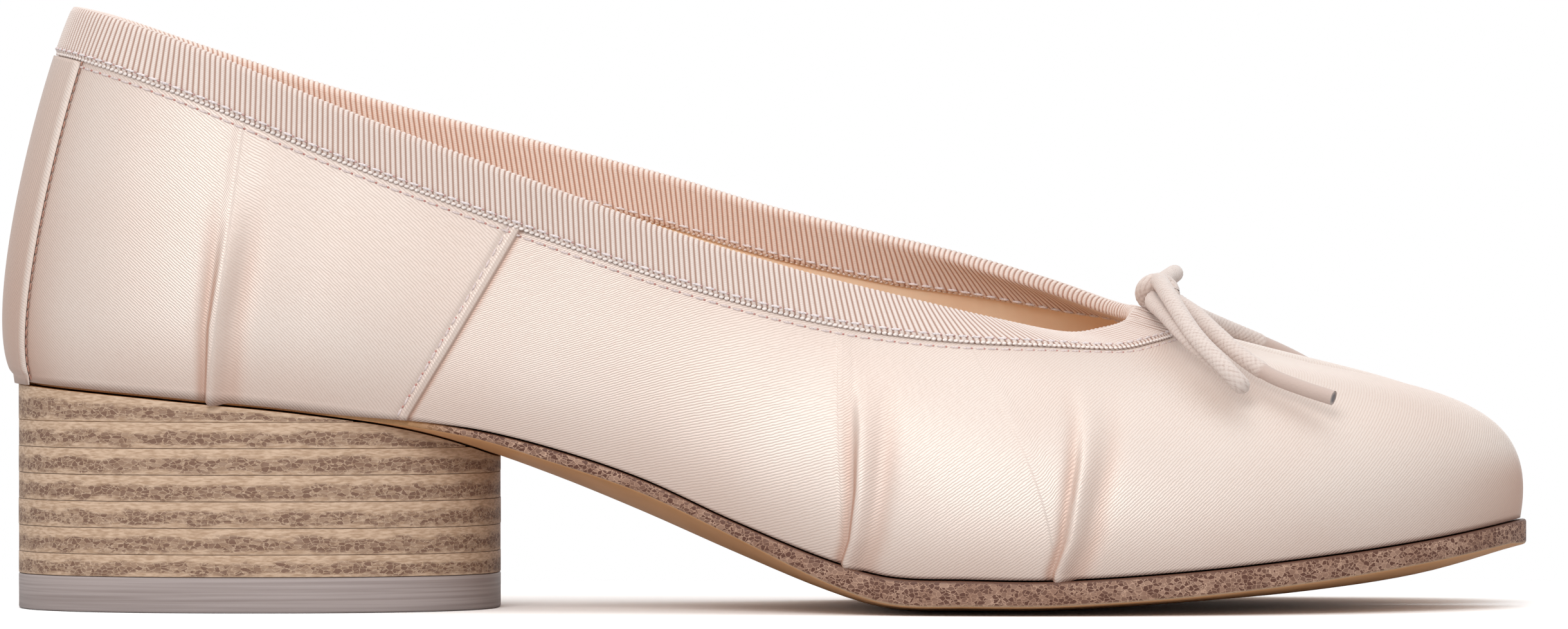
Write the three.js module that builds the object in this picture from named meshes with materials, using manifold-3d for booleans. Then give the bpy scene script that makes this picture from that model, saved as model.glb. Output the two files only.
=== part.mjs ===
// Tabi pump for the right foot: a satin slip-on with a split toe, a ribbon-bound topline that is
// drawn up by a cord bow, a leather sole and a low round heel built up from leather lifts.
// Millimetres, +Z up, toe towards +X, the outer (little toe) side towards -Y.

import * as THREE from "three";
import { mergeVertices } from "three/addons/utils/BufferGeometryUtils.js";
import Module from "manifold-3d";

const wasm = await Module();
wasm.setup();

// Driving dimensions
const SHOE_LENGTH = 250; // back of the heel to the tip of the toe
const BALL_WIDTH = 83; // across the joints, at the edge where upper and sole meet
const SEAT_HEIGHT = 38.4; // top of the sole at the back, above the floor
const TOPLINE_HEIGHT = 97.6; // edge of the upper at the back, above the floor
const WALL = 1.8; // satin, interlining and lining together
const SEAM_STEP = 0.6; // the quarters lap over the vamp by one turned edge
const JOINT_GAP = 0.3; // between pieces that are glued or sewn together

// Split of the toe
const SPLIT_SHOULDER = 3; // rows of the upper table from the web between the toes to the crest of a lobe
const GROOVE_END = 0.76; // share of the length where the groove behind the web runs out
const WEB_SHARE = 0.55; // of the depth, taken up by the steep web; the groove has the rest
const WEB_FADE = 9; // higher values make the web steeper
const GROOVE_FADE = 2; // higher values make the groove shorter

// Trim
const RIBBON_WIDTH = 7.8; // of the folded ribbon, on each side of the edge
const RIBBON_THICKNESS = 0.8;
const STRIP_HALF_FOOT = 0.67; // half width of the back strip at the sole, in rows, about 12 mm
const STRIP_HALF_TOP = 0.82; // and under the ribbon
const STRIP_THICKNESS = 0.6;
const INSOLE_THICKNESS = 2;

// Heel
const HEEL_CENTRE = 42.1; // from the back of the shoe
const HEEL_HALF_LENGTH = 39.5;
const HEEL_HALF_WIDTH = 29.2;
const HEEL_ROUNDNESS = 2.4; // exponent of the outline: 2 is an ellipse
const HEEL_SIDES = 44;
const TOP_PIECE_HEIGHT = 5.8;
const LIFT_HEIGHTS = [3.6, 4.3, 4.3, 4.3, 4.3, 4.3, 6]; // from the floor up, the last is cut to a wedge

// Bow
const CORD_RADIUS = 1.45;
const CORD_SIDES = 8;
const CORD_STEP = 2.4; // length between the rings of a cord
const KNOT = { along: 189.6, across: 4.5, up: 51.1, halfLength: 2.4, halfWidth: 2.8, halfHeight: 1.8 };

const COLOURS = {
  satin: { color: 0xf3ddd3, roughness: 0.45, metalness: 0 },
  ribbon: { color: 0xd9bdb2, roughness: 0.8, metalness: 0 },
  cord: { color: 0xd8bfb6, roughness: 0.95, metalness: 0 },
  soleLeather: { color: 0xb98a55, roughness: 0.5, metalness: 0 },
  insoleLeather: { color: 0xd9b48c, roughness: 0.6, metalness: 0 },
  heelLeather: { color: 0xb39a80, roughness: 0.7, metalness: 0 },
  topPiece: { color: 0x978a85, roughness: 0.6, metalness: 0 },
};

// Sole along its length. along: share of SHOE_LENGTH, top: share of SEAT_HEIGHT, edge: height of the
// sole's side, crown: how far the middle of the underside hangs below the edge, ledge: how far the
// sole stands out past the upper. The last three are in millimetres.
const SOLE_SECTIONS = [
  { at: "back", along: 0.0, top: 1.0, edge: 1.2, crown: 0.0, ledge: -0.6 },
  { at: "seat", along: 0.122, top: 0.926, edge: 1.2, crown: 0.0, ledge: -0.6 },
  { at: "seat_front", along: 0.204, top: 0.872, edge: 1.2, crown: 0.0, ledge: -0.6 },
  { at: "breast", along: 0.306, top: 0.777, edge: 1.3, crown: 2.0, ledge: -0.3 },
  { at: "shank_rear", along: 0.36, top: 0.694, edge: 2.1, crown: 2.6, ledge: 0.0 },
  { at: "shank", along: 0.42, top: 0.564, edge: 2.2, crown: 3.6, ledge: 0.2 },
  { at: "shank_front", along: 0.48, top: 0.387, edge: 2.4, crown: 3.2, ledge: 0.4 },
  { at: "tread_rear", along: 0.54, top: 0.229, edge: 3.7, crown: 2.0, ledge: 0.8 },
  { at: "joint", along: 0.58, top: 0.158, edge: 4.3, crown: 1.5, ledge: 1.0 },
  { at: "tread", along: 0.63, top: 0.146, edge: 4.2, crown: 1.6, ledge: 1.0 },
  { at: "tread_front", along: 0.69, top: 0.144, edge: 4.0, crown: 1.7, ledge: 1.0 },
  { at: "toe_root", along: 0.776, top: 0.181, edge: 4.0, crown: 1.8, ledge: 1.0 },
  { at: "toes", along: 0.857, top: 0.237, edge: 3.9, crown: 2.4, ledge: 1.0 },
  { at: "toe_end", along: 0.93, top: 0.301, edge: 3.6, crown: 2.5, ledge: 1.0 },
  { at: "tip", along: 1.0, top: 0.38, edge: 3.4, crown: 1.0, ledge: 1.0 },
];

// Upper, once round the shoe from the back of the heel by the outer side to the toe and back by the
// inner side. Each row is a line up the wall, from the edge over the sole to the topline.
// along, topAlong: share of SHOE_LENGTH. across, topAcross: share of BALL_WIDTH. topHeight: share of
// TOPLINE_HEIGHT. lowOut, lowUp and highOut, highDown are in millimetres: how the line leaves the
// sole and how it comes to the topline.
const UPPER_COLUMNS = [
  "at", "along", "across", "topAlong", "topAcross", "topHeight", "lowOut", "lowUp", "highOut", "highDown",
];
const UPPER_ROWS = [
  ["back",               0.011,   0.000,  0.050,   0.000,  1.000,  5.6,   9.0,   4.8,  10.0],
  ["heel_round_outer",   0.038,  -0.229,  0.074,  -0.171,  0.984,  4.4,  10.0,   4.0,  12.0],
  ["heel_side_outer",    0.114,  -0.337,  0.139,  -0.274,  0.924,  3.2,  13.0,   2.5,  14.0],
  ["seat_outer",         0.192,  -0.349,  0.237,  -0.305,  0.819,  2.5,  14.0,   1.5,  15.0],
  ["side_seam_outer",    0.269,  -0.346,  0.357,  -0.323,  0.704,  2.5,  12.0,   1.5,  13.0],
  ["waist_outer",        0.388,  -0.356,  0.449,  -0.323,  0.620,  3.0,  12.0,   3.0,  12.0],
  ["joint_rear_outer",   0.506,  -0.415,  0.522,  -0.311,  0.563,  3.5,  14.0,   5.0,  11.0],
  ["ball_outer",         0.620,  -0.488,  0.592,  -0.280,  0.517,  3.5,  16.0,   9.0,   9.0],
  ["toe_root_outer",     0.735,  -0.491,  0.649,  -0.226,  0.482,  3.2,  18.0,  15.0,   7.0],
  ["little_toe",         0.845,  -0.427,  0.696,  -0.146,  0.458,  3.2,  20.0,  24.0,   6.0],
  ["toe_corner_outer",   0.939,  -0.274,  0.722,  -0.091,  0.465,  4.0,  23.5,  35.0,   8.0],
  ["toe_tip",            0.993,  -0.073,  0.736,  -0.039,  0.475,  4.6,  24.5,  41.0,  11.0],
  ["lobe_inside_outer",  0.981,   0.044,  0.740,  -0.002,  0.484,  3.0,  24.0,  40.0,  10.0],
  ["split_wall_outer",   0.933,   0.093,  0.743,   0.029,  0.493,  0.0,  23.0,  30.0,  10.0],
  ["split",              0.861,   0.110,  0.744,   0.061,  0.496,  0.0,  23.0,  14.0,   5.0],
  ["split_wall_inner",   0.933,   0.127,  0.743,   0.093,  0.497,  0.0,  23.0,  30.0,  10.0],
  ["lobe_inside_inner",  0.978,   0.178,  0.741,   0.124,  0.499,  2.5,  23.0,  40.0,  12.0],
  ["big_toe_tip",        0.988,   0.280,  0.736,   0.161,  0.501,  4.4,  24.0,  41.0,  13.0],
  ["big_toe_corner",     0.953,   0.415,  0.722,   0.222,  0.512,  3.6,  23.0,  34.0,  12.0],
  ["big_toe_side",       0.857,   0.482,  0.686,   0.274,  0.545,  3.2,  22.0,  22.0,   9.0],
  ["ball_inner",         0.743,   0.476,  0.633,   0.311,  0.585,  3.2,  20.0,  12.0,   9.0],
  ["joint_rear_inner",   0.620,   0.409,  0.576,   0.323,  0.621,  4.0,  18.0,   7.0,  12.0],
  ["arch_front",         0.498,   0.299,  0.498,   0.317,  0.671,  6.0,  17.0,   4.0,  14.0],
  ["arch",               0.388,   0.262,  0.433,   0.311,  0.721,  6.0,  15.0,   3.0,  14.0],
  ["side_seam_inner",    0.278,   0.305,  0.351,   0.311,  0.776,  4.0,  14.0,   2.0,  14.0],
  ["seat_inner",         0.192,   0.341,  0.237,   0.299,  0.851,  2.8,  14.0,   1.5,  16.0],
  ["heel_side_inner",    0.114,   0.337,  0.139,   0.274,  0.929,  3.2,  13.0,   2.5,  14.0],
  ["heel_round_inner",   0.038,   0.229,  0.074,   0.171,  0.985,  4.4,  10.0,   4.0,  12.0],
].map((row) => Object.fromEntries(row.map((value, i) => [UPPER_COLUMNS[i], value])));

// The cords of the bow, from the knot on. Millimetres from the back of the shoe, across it and above the
// floor; a loop goes out along its first rows and comes back along the others.
const BOW_CORDS = [
  {
    name: "bow_end_outer",
    path: [
      { along: 192.4, across: 2.5, up: 49.9 },
      { along: 195.2, across: -4.5, up: 48.2 },
      { along: 198.3, across: -13.5, up: 45.2 },
      { along: 202.5, across: -20.8, up: 41.4 },
      { along: 207.0, across: -24.6, up: 38.4 },
      { along: 212.0, across: -26.6, up: 36.4 },
      { along: 217.0, across: -28.8, up: 34.8 },
    ],
  },
  {
    name: "bow_end_inner",
    path: [
      { along: 192.6, across: 6.3, up: 50.1 },
      { along: 196.5, across: 13.0, up: 47.6 },
      { along: 201.0, across: 20.5, up: 45.6 },
      { along: 206.0, across: 26.0, up: 43.5 },
      { along: 211.5, across: 29.4, up: 41.1 },
      { along: 216.5, across: 32.0, up: 38.5 },
    ],
  },
  {
    name: "bow_loop_outer",
    path: [
      { along: 188.8, across: 0.8, up: 49.9 },
      { along: 190.6, across: -8.0, up: 48.0 },
      { along: 193.8, across: -18.4, up: 44.4 },
      { along: 198.2, across: -24.8, up: 40.4 },
      { along: 201.6, across: -28.6, up: 37.2 },
      { along: 201.8, across: -30.8, up: 37.2 },
      { along: 199.2, across: -29.4, up: 40.0 },
      { along: 194.8, across: -22.4, up: 44.9 },
      { along: 191.4, across: -11.0, up: 50.4 },
      { along: 189.9, across: 1.2, up: 53.3 },
    ],
  },
  {
    name: "bow_loop_inner",
    path: [
      { along: 189.9, across: 8.4, up: 50.3 },
      { along: 189.4, across: 14.0, up: 50.9 },
      { along: 189.2, across: 20.5, up: 51.2 },
      { along: 189.8, across: 25.4, up: 51.6 },
      { along: 191.2, across: 27.4, up: 52.7 },
      { along: 192.5, across: 25.6, up: 53.8 },
      { along: 193.0, across: 21.2, up: 54.4 },
      { along: 192.5, across: 15.5, up: 54.3 },
      { along: 191.5, across: 11.5, up: 53.8 },
      { along: 190.6, across: 8.4, up: 53.4 },
    ],
  },
];

const rowNumber = (name) => UPPER_ROWS.findIndex((row) => row.at === name);
const SPLIT = rowNumber("split");
const OUTER_SEAM = rowNumber("side_seam_outer");
const INNER_SEAM = rowNumber("side_seam_inner");
const SEAM_TURN = 0.04; // in rows, the width of the seam's step

// Reading the tables

// Cubic through four neighbouring values, from the second (t = 0) to the third (t = 1).
function throughFour(a, b, c, d, t) {
  return b + 0.5 * t * (c - a + t * (2 * a - 5 * b + 4 * c - d + t * (3 * (b - c) + d - a)));
}

// A column of the upper table at a place between rows; the table closes on itself.
function upperColumn(column, place) {
  const count = UPPER_ROWS.length;
  const first = Math.floor(place);
  const [a, b, c, d] = [-1, 0, 1, 2].map((step) => {
    return UPPER_ROWS[(((first + step) % count) + count) % count][column];
  });
  return throughFour(a, b, c, d, place - first);
}

// A column of the sole table at a distance x from the back, as a smooth curve through its rows.
function soleColumn(column, x) {
  const rows = SOLE_SECTIONS;
  const along = THREE.MathUtils.clamp(x / SHOE_LENGTH, 0, 1);
  let i = 0;
  while (i < rows.length - 2 && along > rows[i + 1].along) i += 1;
  const slope = (k) => {
    const low = rows[Math.max(k - 1, 0)];
    const high = rows[Math.min(k + 1, rows.length - 1)];
    return (high[column] - low[column]) / (high.along - low.along);
  };
  const span = rows[i + 1].along - rows[i].along;
  const t = (along - rows[i].along) / span;
  const rise = rows[i + 1][column] - rows[i][column];
  const start = slope(i) * span;
  const end = slope(i + 1) * span;
  return rows[i][column] + t * (start + t * (3 * rise - 2 * start - end + t * (start + end - 2 * rise)));
}

const soleTop = (x) => SEAT_HEIGHT * soleColumn("top", x);

// The upper's own function

// Four control points of the line up the wall at a place round the shoe.
function wallLine(place) {
  const read = (column) => upperColumn(column, place);
  const foot = new THREE.Vector3(SHOE_LENGTH * read("along"), BALL_WIDTH * read("across"), 0);
  foot.z = soleTop(foot.x) + JOINT_GAP;
  const top = new THREE.Vector3(SHOE_LENGTH * read("topAlong"), BALL_WIDTH * read("topAcross"), 0);
  top.z = TOPLINE_HEIGHT * read("topHeight");
  const step = 0.05;
  const ahead = new THREE.Vector2(
    SHOE_LENGTH * (upperColumn("along", place + step) - upperColumn("along", place - step)),
    BALL_WIDTH * (upperColumn("across", place + step) - upperColumn("across", place - step)),
  );
  const square = new THREE.Vector3(ahead.y, -ahead.x, 0).normalize(); // square to the outline
  const facing = square.y ** 2; // 1 where the wall faces sideways
  const spoke = new THREE.Vector3(foot.x - top.x, foot.y - top.y, 0);
  const reach = THREE.MathUtils.smoothstep(read("along"), 0.62, 0.85); // 1 where the vamp covers the toes
  const out = square.lerp(spoke.normalize(), reach).normalize();
  const low = foot.clone().addScaledVector(out, read("lowOut"));
  low.z += read("lowUp");
  const high = top.clone().addScaledVector(out, read("highOut"));
  high.z -= read("highDown");
  const side = facing * (1 - THREE.MathUtils.smoothstep(read("along"), 0.4, 0.6)); // 1 beside the heel
  const lean = (side * (top.x - foot.x)) / 3; // keeps the lines of the sides straight
  low.x += lean;
  high.x -= lean;
  return new THREE.CubicBezierCurve3(foot, low, high, top);
}

const webAlong = UPPER_ROWS[SPLIT].along;

// How deep the split is at a distance x from the back: 1 from the web on, 0 where the groove ends.
function splitDepth(x) {
  const run = (x / SHOE_LENGTH - GROOVE_END) / (webAlong - GROOVE_END);
  const share = THREE.MathUtils.clamp(run, 0, 1);
  return WEB_SHARE * share ** WEB_FADE + (1 - WEB_SHARE) * share ** GROOVE_FADE;
}

// How far a lobe stands up beside the split: 0 in the middle, 1 from its crest on.
function lobeRise(place) {
  const inside = Math.max(0, 1 - Math.abs(place - SPLIT) / SPLIT_SHOULDER);
  return Math.sqrt(1 - inside * inside);
}

// A point of the upper's outer face: place runs round the shoe in rows, v from sole to topline.
function upperPoint(place, v) {
  const point = wallLine(place).getPoint(v);
  const floor = soleTop(point.x) + JOINT_GAP;
  const dip = splitDepth(point.x) * (1 - lobeRise(place));
  point.z = floor + (point.z - floor) * (1 - dip);
  return point;
}

function upperNormal(place, v) {
  const step = 0.01;
  const v0 = Math.max(v - step, 0);
  const v1 = Math.min(v + step, 1);
  const round = upperPoint(place + step, v).sub(upperPoint(place - step, v));
  const up = upperPoint(place, v1).sub(upperPoint(place, v0));
  return round.cross(up).normalize();
}

// The quarters, behind the side seams, lie over the vamp.
function seamStep(place) {
  const count = UPPER_ROWS.length;
  const turned = ((place % count) + count) % count;
  return turned <= OUTER_SEAM || turned >= INNER_SEAM ? SEAM_STEP : 0;
}

// The height v that lies a distance down the wall from the topline.
function heightBelowTopline(place, distance) {
  const steps = 60;
  let last = upperPoint(place, 1);
  let gone = 0;
  for (let i = 1; i <= steps; i += 1) {
    const v = 1 - (0.6 * i) / steps;
    const point = upperPoint(place, v);
    const stride = point.distanceTo(last);
    if (gone + stride >= distance) return v + (0.6 / steps) * (1 - (distance - gone) / stride);
    gone += stride;
    last = point;
  }
  return 0.4;
}

// Meshes and solids

function geometryOf(points, triangles) {
  const geometry = new THREE.BufferGeometry();
  geometry.setAttribute("position", new THREE.Float32BufferAttribute(points.flatMap((p) => p.toArray()), 3));
  geometry.setIndex(triangles);
  return geometry;
}

function solidOf(geometry) {
  const bare = geometry.clone();
  bare.deleteAttribute("normal");
  bare.deleteAttribute("uv");
  const merged = mergeVertices(bare, 1e-4);
  const vertProperties = new Float32Array(merged.attributes.position.array);
  const triVerts = new Uint32Array(merged.index.array);
  return new wasm.Manifold(new wasm.Mesh({ numProp: 3, vertProperties, triVerts }));
}

function geometryOfSolid(solid) {
  const mesh = solid.getMesh();
  const geometry = new THREE.BufferGeometry();
  geometry.setAttribute("position", new THREE.BufferAttribute(mesh.vertProperties, 3));
  geometry.setIndex(new THREE.BufferAttribute(mesh.triVerts, 1));
  return geometry;
}

// A closed shell between two grids of points, outer[i][j] and inner[i][j]. has(i, j) tells which cells
// are there, and every free edge of a cell gets a wall.
function shellGeometry(outer, inner, columns, rows, has) {
  const points = [];
  const numbers = new Map();
  const number = (grid, i, j) => {
    const column = i % outer.length;
    const key = `${grid === outer} ${column} ${j}`;
    if (!numbers.has(key)) {
      numbers.set(key, points.length);
      points.push(grid[column][j]);
    }
    return numbers.get(key);
  };
  const triangles = [];
  const quad = (a, b, c, d) => triangles.push(a, b, c, a, c, d);
  for (let i = 0; i < columns; i += 1) {
    for (let j = 0; j < rows; j += 1) {
      if (!has(i, j)) continue;
      const corners = [[i, j], [i + 1, j], [i + 1, j + 1], [i, j + 1]];
      const [a, b, c, d] = corners.map(([x, y]) => number(outer, x, y));
      const [e, f, g, h] = corners.map(([x, y]) => number(inner, x, y));
      quad(a, b, c, d);
      quad(e, h, g, f);
      if (!has(i, j - 1)) quad(a, e, f, b);
      if (!has(i + 1, j)) quad(b, f, g, c);
      if (!has(i, j + 1)) quad(c, g, h, d);
      if (!has(i - 1, j)) quad(d, h, e, a);
    }
  }
  return geometryOf(points, triangles);
}

// A ring of closed sections, each a list of points that runs against the clock seen along the ring.
function ringGeometry(sections) {
  const points = sections.flat();
  const size = sections[0].length;
  const triangles = [];
  sections.forEach((section, i) => {
    const here = i * size;
    const next = ((i + 1) % sections.length) * size;
    for (let k = 0; k < size; k += 1) {
      const m = (k + 1) % size;
      triangles.push(here + k, next + k, next + m, here + k, next + m, here + m);
    }
  });
  return geometryOf(points, triangles);
}

function addMesh(group, name, geometry, finish) {
  const mesh = new THREE.Mesh(geometry, new THREE.MeshStandardMaterial(finish));
  mesh.geometry.computeVertexNormals();
  mesh.name = name;
  group.add(mesh);
}

// Places round the shoe and heights of the wall where it is cut into cells
const CELLS_PER_ROW = 3;
const SHOULDER_CELLS = 10;

function placesRound() {
  const places = [SPLIT];
  for (let k = 0; k < UPPER_ROWS.length * CELLS_PER_ROW; k += 1) {
    const place = k / CELLS_PER_ROW;
    if (Math.abs(place - SPLIT) > SPLIT_SHOULDER) places.push(place);
  }
  for (let k = 1; k <= SHOULDER_CELLS; k += 1) {
    const away = SPLIT_SHOULDER * (1 - Math.cos((Math.PI / 2) * (k / SHOULDER_CELLS)));
    places.push(SPLIT - away, SPLIT + away);
  }
  places.push(OUTER_SEAM + SEAM_TURN, INNER_SEAM - SEAM_TURN);
  return places.sort((a, b) => a - b);
}

const PLACES = placesRound();
const HEIGHTS = [0, 0.1, 0.2, 0.3, 0.4, 0.5, 0.6, 0.7, 0.8, 0.9, 0.95, 1];
const WALL_CELLS = HEIGHTS.length - 1;
const wallHas = (i, j) => j >= 0 && j < WALL_CELLS;

// Mean direction of the cells that meet at each point of the wall.
function wallNormals(grid) {
  const count = grid.length;
  return grid.map((column, i) => {
    return column.map((_, j) => {
      const sum = new THREE.Vector3();
      for (const [di, dj] of [[0, 0], [-1, 0], [0, -1], [-1, -1]]) {
        if (!wallHas(i + di, j + dj)) continue;
        const c0 = grid[(i + di + count) % count];
        const c1 = grid[(i + di + 1) % count];
        const across = c1[j + dj + 1].clone().sub(c0[j + dj]);
        const other = c0[j + dj + 1].clone().sub(c1[j + dj]);
        sum.add(across.cross(other).normalize());
      }
      return sum.normalize();
    });
  });
}

// Upper

function upperGeometry() {
  const face = PLACES.map((place) => HEIGHTS.map((v) => upperPoint(place, v)));
  const normals = wallNormals(face);
  const outer = face.map((column, i) => {
    return column.map((p, j) => p.clone().addScaledVector(normals[i][j], seamStep(PLACES[i])));
  });
  const inner = face.map((column, i) => {
    return column.map((p, j) => p.clone().addScaledVector(normals[i][j], -WALL));
  });
  for (const [foot] of [...outer, ...inner]) foot.z = soleTop(foot.x) + JOINT_GAP;
  return shellGeometry(outer, inner, PLACES.length, WALL_CELLS, wallHas);
}

// Ribbon folded over the topline
const RIBBON_STEPS = [1, 0.5, 0.12]; // shares of its width, from the lower edge up

function ribbonSection(place) {
  const section = [];
  const top = upperPoint(place, 1);
  const normal = upperNormal(place, 1);
  const up = top.clone().sub(upperPoint(place, 0.97)).normalize();
  const outside = seamStep(place) + JOINT_GAP;
  const inside = -WALL - JOINT_GAP;
  const onWall = (share, offset) => {
    const v = heightBelowTopline(place, share * RIBBON_WIDTH);
    return upperPoint(place, v).addScaledVector(upperNormal(place, v), offset);
  };
  const overEdge = (rise, offset) => top.clone().addScaledVector(up, rise).addScaledVector(normal, offset);
  const skin = RIBBON_THICKNESS;
  for (const share of RIBBON_STEPS) section.push(onWall(share, outside + skin));
  section.push(overEdge(JOINT_GAP + 0.6 * skin, outside + 0.6 * skin));
  section.push(overEdge(JOINT_GAP + skin, (outside + inside) / 2));
  section.push(overEdge(JOINT_GAP + 0.6 * skin, inside - 0.6 * skin));
  for (const share of [...RIBBON_STEPS].reverse()) section.push(onWall(share, inside - skin));
  for (const share of RIBBON_STEPS) section.push(onWall(share, inside));
  section.push(overEdge(JOINT_GAP, inside), overEdge(JOINT_GAP, outside));
  for (const share of [...RIBBON_STEPS].reverse()) section.push(onWall(share, outside));
  return section;
}

const RIBBON_CELLS_PER_ROW = 3;

function ribbonGeometry() {
  const sections = [];
  for (let k = 0; k < UPPER_ROWS.length * RIBBON_CELLS_PER_ROW; k += 1) {
    sections.push(ribbonSection(k / RIBBON_CELLS_PER_ROW));
  }
  return ringGeometry(sections);
}

// Strip that covers the back seam
const STRIP_CELLS = 10;
const STRIP_HEIGHTS = 9;

function backStripGeometry() {
  const outer = [];
  const inner = [];
  for (let i = 0; i <= STRIP_CELLS; i += 1) {
    const share = (2 * i) / STRIP_CELLS - 1;
    const highest = heightBelowTopline(share * STRIP_HALF_TOP, RIBBON_WIDTH + JOINT_GAP);
    const near = SEAM_STEP + JOINT_GAP;
    const columns = [near + STRIP_THICKNESS, near].map((offset) => {
      return Array.from({ length: STRIP_HEIGHTS + 1 }, (_, j) => {
        const v = (highest * j) / STRIP_HEIGHTS;
        const place = share * THREE.MathUtils.lerp(STRIP_HALF_FOOT, STRIP_HALF_TOP, j / STRIP_HEIGHTS);
        return upperPoint(place, v).addScaledVector(upperNormal(place, v), offset);
      });
    });
    outer.push(columns[0]);
    inner.push(columns[1]);
  }
  const has = (i, j) => i >= 0 && i < STRIP_CELLS && j >= 0 && j < STRIP_HEIGHTS;
  return shellGeometry(outer, inner, STRIP_CELLS, STRIP_HEIGHTS, has);
}

// Sole and insole

// Outline of the upper where it meets the sole, moved outwards by ledge(x, place).
function footprint(ledge) {
  const points = PLACES.map((place) => upperPoint(place, 0));
  const count = points.length;
  return points.map((p, i) => {
    const last = points[(i + count - 1) % count];
    const next = points[(i + 1) % count];
    const normal = new THREE.Vector2(next.y - last.y, last.x - next.x).normalize();
    return new THREE.Vector2(p.x, p.y).addScaledVector(normal, ledge(p.x, PLACES[i]));
  });
}

// Span of an outline across the shoe at a distance x from the back.
function spanAt(outline, x) {
  const found = [];
  outline.forEach((p, i) => {
    const q = outline[(i + 1) % outline.length];
    if (p.x < x === q.x < x) return;
    found.push(p.y + ((q.y - p.y) * (x - p.x)) / (q.x - p.x));
  });
  return [Math.min(...found), Math.max(...found)];
}

function prismGeometry(outline, height) {
  return new THREE.ExtrudeGeometry(new THREE.Shape(outline), { depth: height, bevelEnabled: false });
}

const SLAB_STATIONS = 34;
const CROWNED_ACROSS = [-1.5, -1, -0.75, -0.4, 0, 0.4, 0.75, 1, 1.5]; // half widths from the middle
const FLAT_ACROSS = [-1.5, 1.5];

// A slab under the foot whose faces are worked out at each station along the shoe and share across.
function slabGeometry(outline, shares, upperFace, lowerFace) {
  const alongs = outline.map((p) => p.x);
  const ends = [Math.min(...alongs), Math.max(...alongs)];
  const grids = [upperFace, lowerFace].map((face) => {
    return Array.from({ length: SLAB_STATIONS + 1 }, (_, i) => {
      const x = -2 + ((SHOE_LENGTH + 4) * i) / SLAB_STATIONS;
      const within = THREE.MathUtils.clamp(x, ends[0] + 3, ends[1] - 3);
      const [low, high] = spanAt(outline, within);
      return shares.map((share) => {
        const y = (low + high) / 2 + (share * (high - low)) / 2;
        return new THREE.Vector3(x, y, face(x, share));
      });
    });
  });
  const across = shares.length - 1;
  const has = (i, j) => i >= 0 && i < SLAB_STATIONS && j >= 0 && j < across;
  return shellGeometry(grids[0], grids[1], SLAB_STATIONS, across, has);
}

function cutToOutline(outline, slab) {
  const prism = solidOf(prismGeometry(outline, 2 * SEAT_HEIGHT));
  return geometryOfSolid(prism.intersect(solidOf(slab)));
}

function soleOutline() {
  return footprint((x, place) => {
    return soleColumn("ledge", x) * THREE.MathUtils.smoothstep(Math.abs(place - SPLIT), 0.8, 2.2);
  });
}

function soleUnderside(x, share) {
  const bulge = Math.max(0, 1 - Math.abs(share) ** 2.4);
  return Math.max(0, soleTop(x) - soleColumn("edge", x) - soleColumn("crown", x) * bulge);
}

function outsoleGeometry() {
  const outline = soleOutline();
  return cutToOutline(outline, slabGeometry(outline, CROWNED_ACROSS, soleTop, soleUnderside));
}

function insoleGeometry() {
  const outline = footprint((x, place) => {
    const webRoom = 2 * (1 - THREE.MathUtils.smoothstep(Math.abs(place - SPLIT), 0, 0.8));
    return -(WALL + 2 * JOINT_GAP + webRoom);
  });
  const low = (x) => soleTop(x) + JOINT_GAP;
  const high = (x) => low(x) + INSOLE_THICKNESS;
  return cutToOutline(outline, slabGeometry(outline, FLAT_ACROSS, high, low));
}

// Heel

function heelOutline() {
  return Array.from({ length: HEEL_SIDES }, (_, i) => {
    const turn = (2 * Math.PI * i) / HEEL_SIDES;
    const round = (value) => Math.sign(value) * Math.abs(value) ** (2 / HEEL_ROUNDNESS);
    return new THREE.Vector2(
      HEEL_CENTRE + HEEL_HALF_LENGTH * round(Math.cos(turn)),
      HEEL_HALF_WIDTH * round(Math.sin(turn)),
    );
  });
}

// Everything above the underside of the sole, less the glue line.
function aboveHeelSeat() {
  const seat = (x, share) => soleUnderside(x, share) - JOINT_GAP;
  return solidOf(slabGeometry(soleOutline(), CROWNED_ACROSS, () => 2 * SEAT_HEIGHT, seat));
}

function addHeel(group) {
  const outline = heelOutline();
  addMesh(group, "heel_top_piece", prismGeometry(outline, TOP_PIECE_HEIGHT), COLOURS.topPiece);
  const above = aboveHeelSeat();
  let floor = TOP_PIECE_HEIGHT;
  LIFT_HEIGHTS.forEach((height, i) => {
    const lift = prismGeometry(outline, height).translate(0, 0, floor);
    const cut = solidOf(lift).subtract(above);
    addMesh(group, `heel_lift_${i + 1}`, geometryOfSolid(cut), COLOURS.heelLeather);
    floor += height;
  });
}

// Bow

function cordGeometry(rows) {
  const points = rows.map((row) => new THREE.Vector3(row.along, row.across, row.up));
  const path = new THREE.CatmullRomCurve3(points);
  const section = Array.from({ length: CORD_SIDES }, (_, i) => {
    const turn = (2 * Math.PI * i) / CORD_SIDES;
    return new THREE.Vector2(CORD_RADIUS * Math.cos(turn), CORD_RADIUS * Math.sin(turn));
  });
  const steps = Math.round(path.getLength() / CORD_STEP);
  return new THREE.ExtrudeGeometry(new THREE.Shape(section), { steps, extrudePath: path });
}

function knotGeometry() {
  return new THREE.SphereGeometry(1, 12, 8)
    .scale(KNOT.halfLength, KNOT.halfWidth, KNOT.halfHeight)
    .translate(KNOT.along, KNOT.across, KNOT.up);
}

// Assembly

const shoe = new THREE.Group();
addHeel(shoe);
addMesh(shoe, "outsole", outsoleGeometry(), COLOURS.soleLeather);
addMesh(shoe, "insole", insoleGeometry(), COLOURS.insoleLeather);
addMesh(shoe, "upper", upperGeometry(), COLOURS.satin);
addMesh(shoe, "topline_ribbon", ribbonGeometry(), COLOURS.ribbon);
addMesh(shoe, "back_strip", backStripGeometry(), COLOURS.satin);

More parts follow.
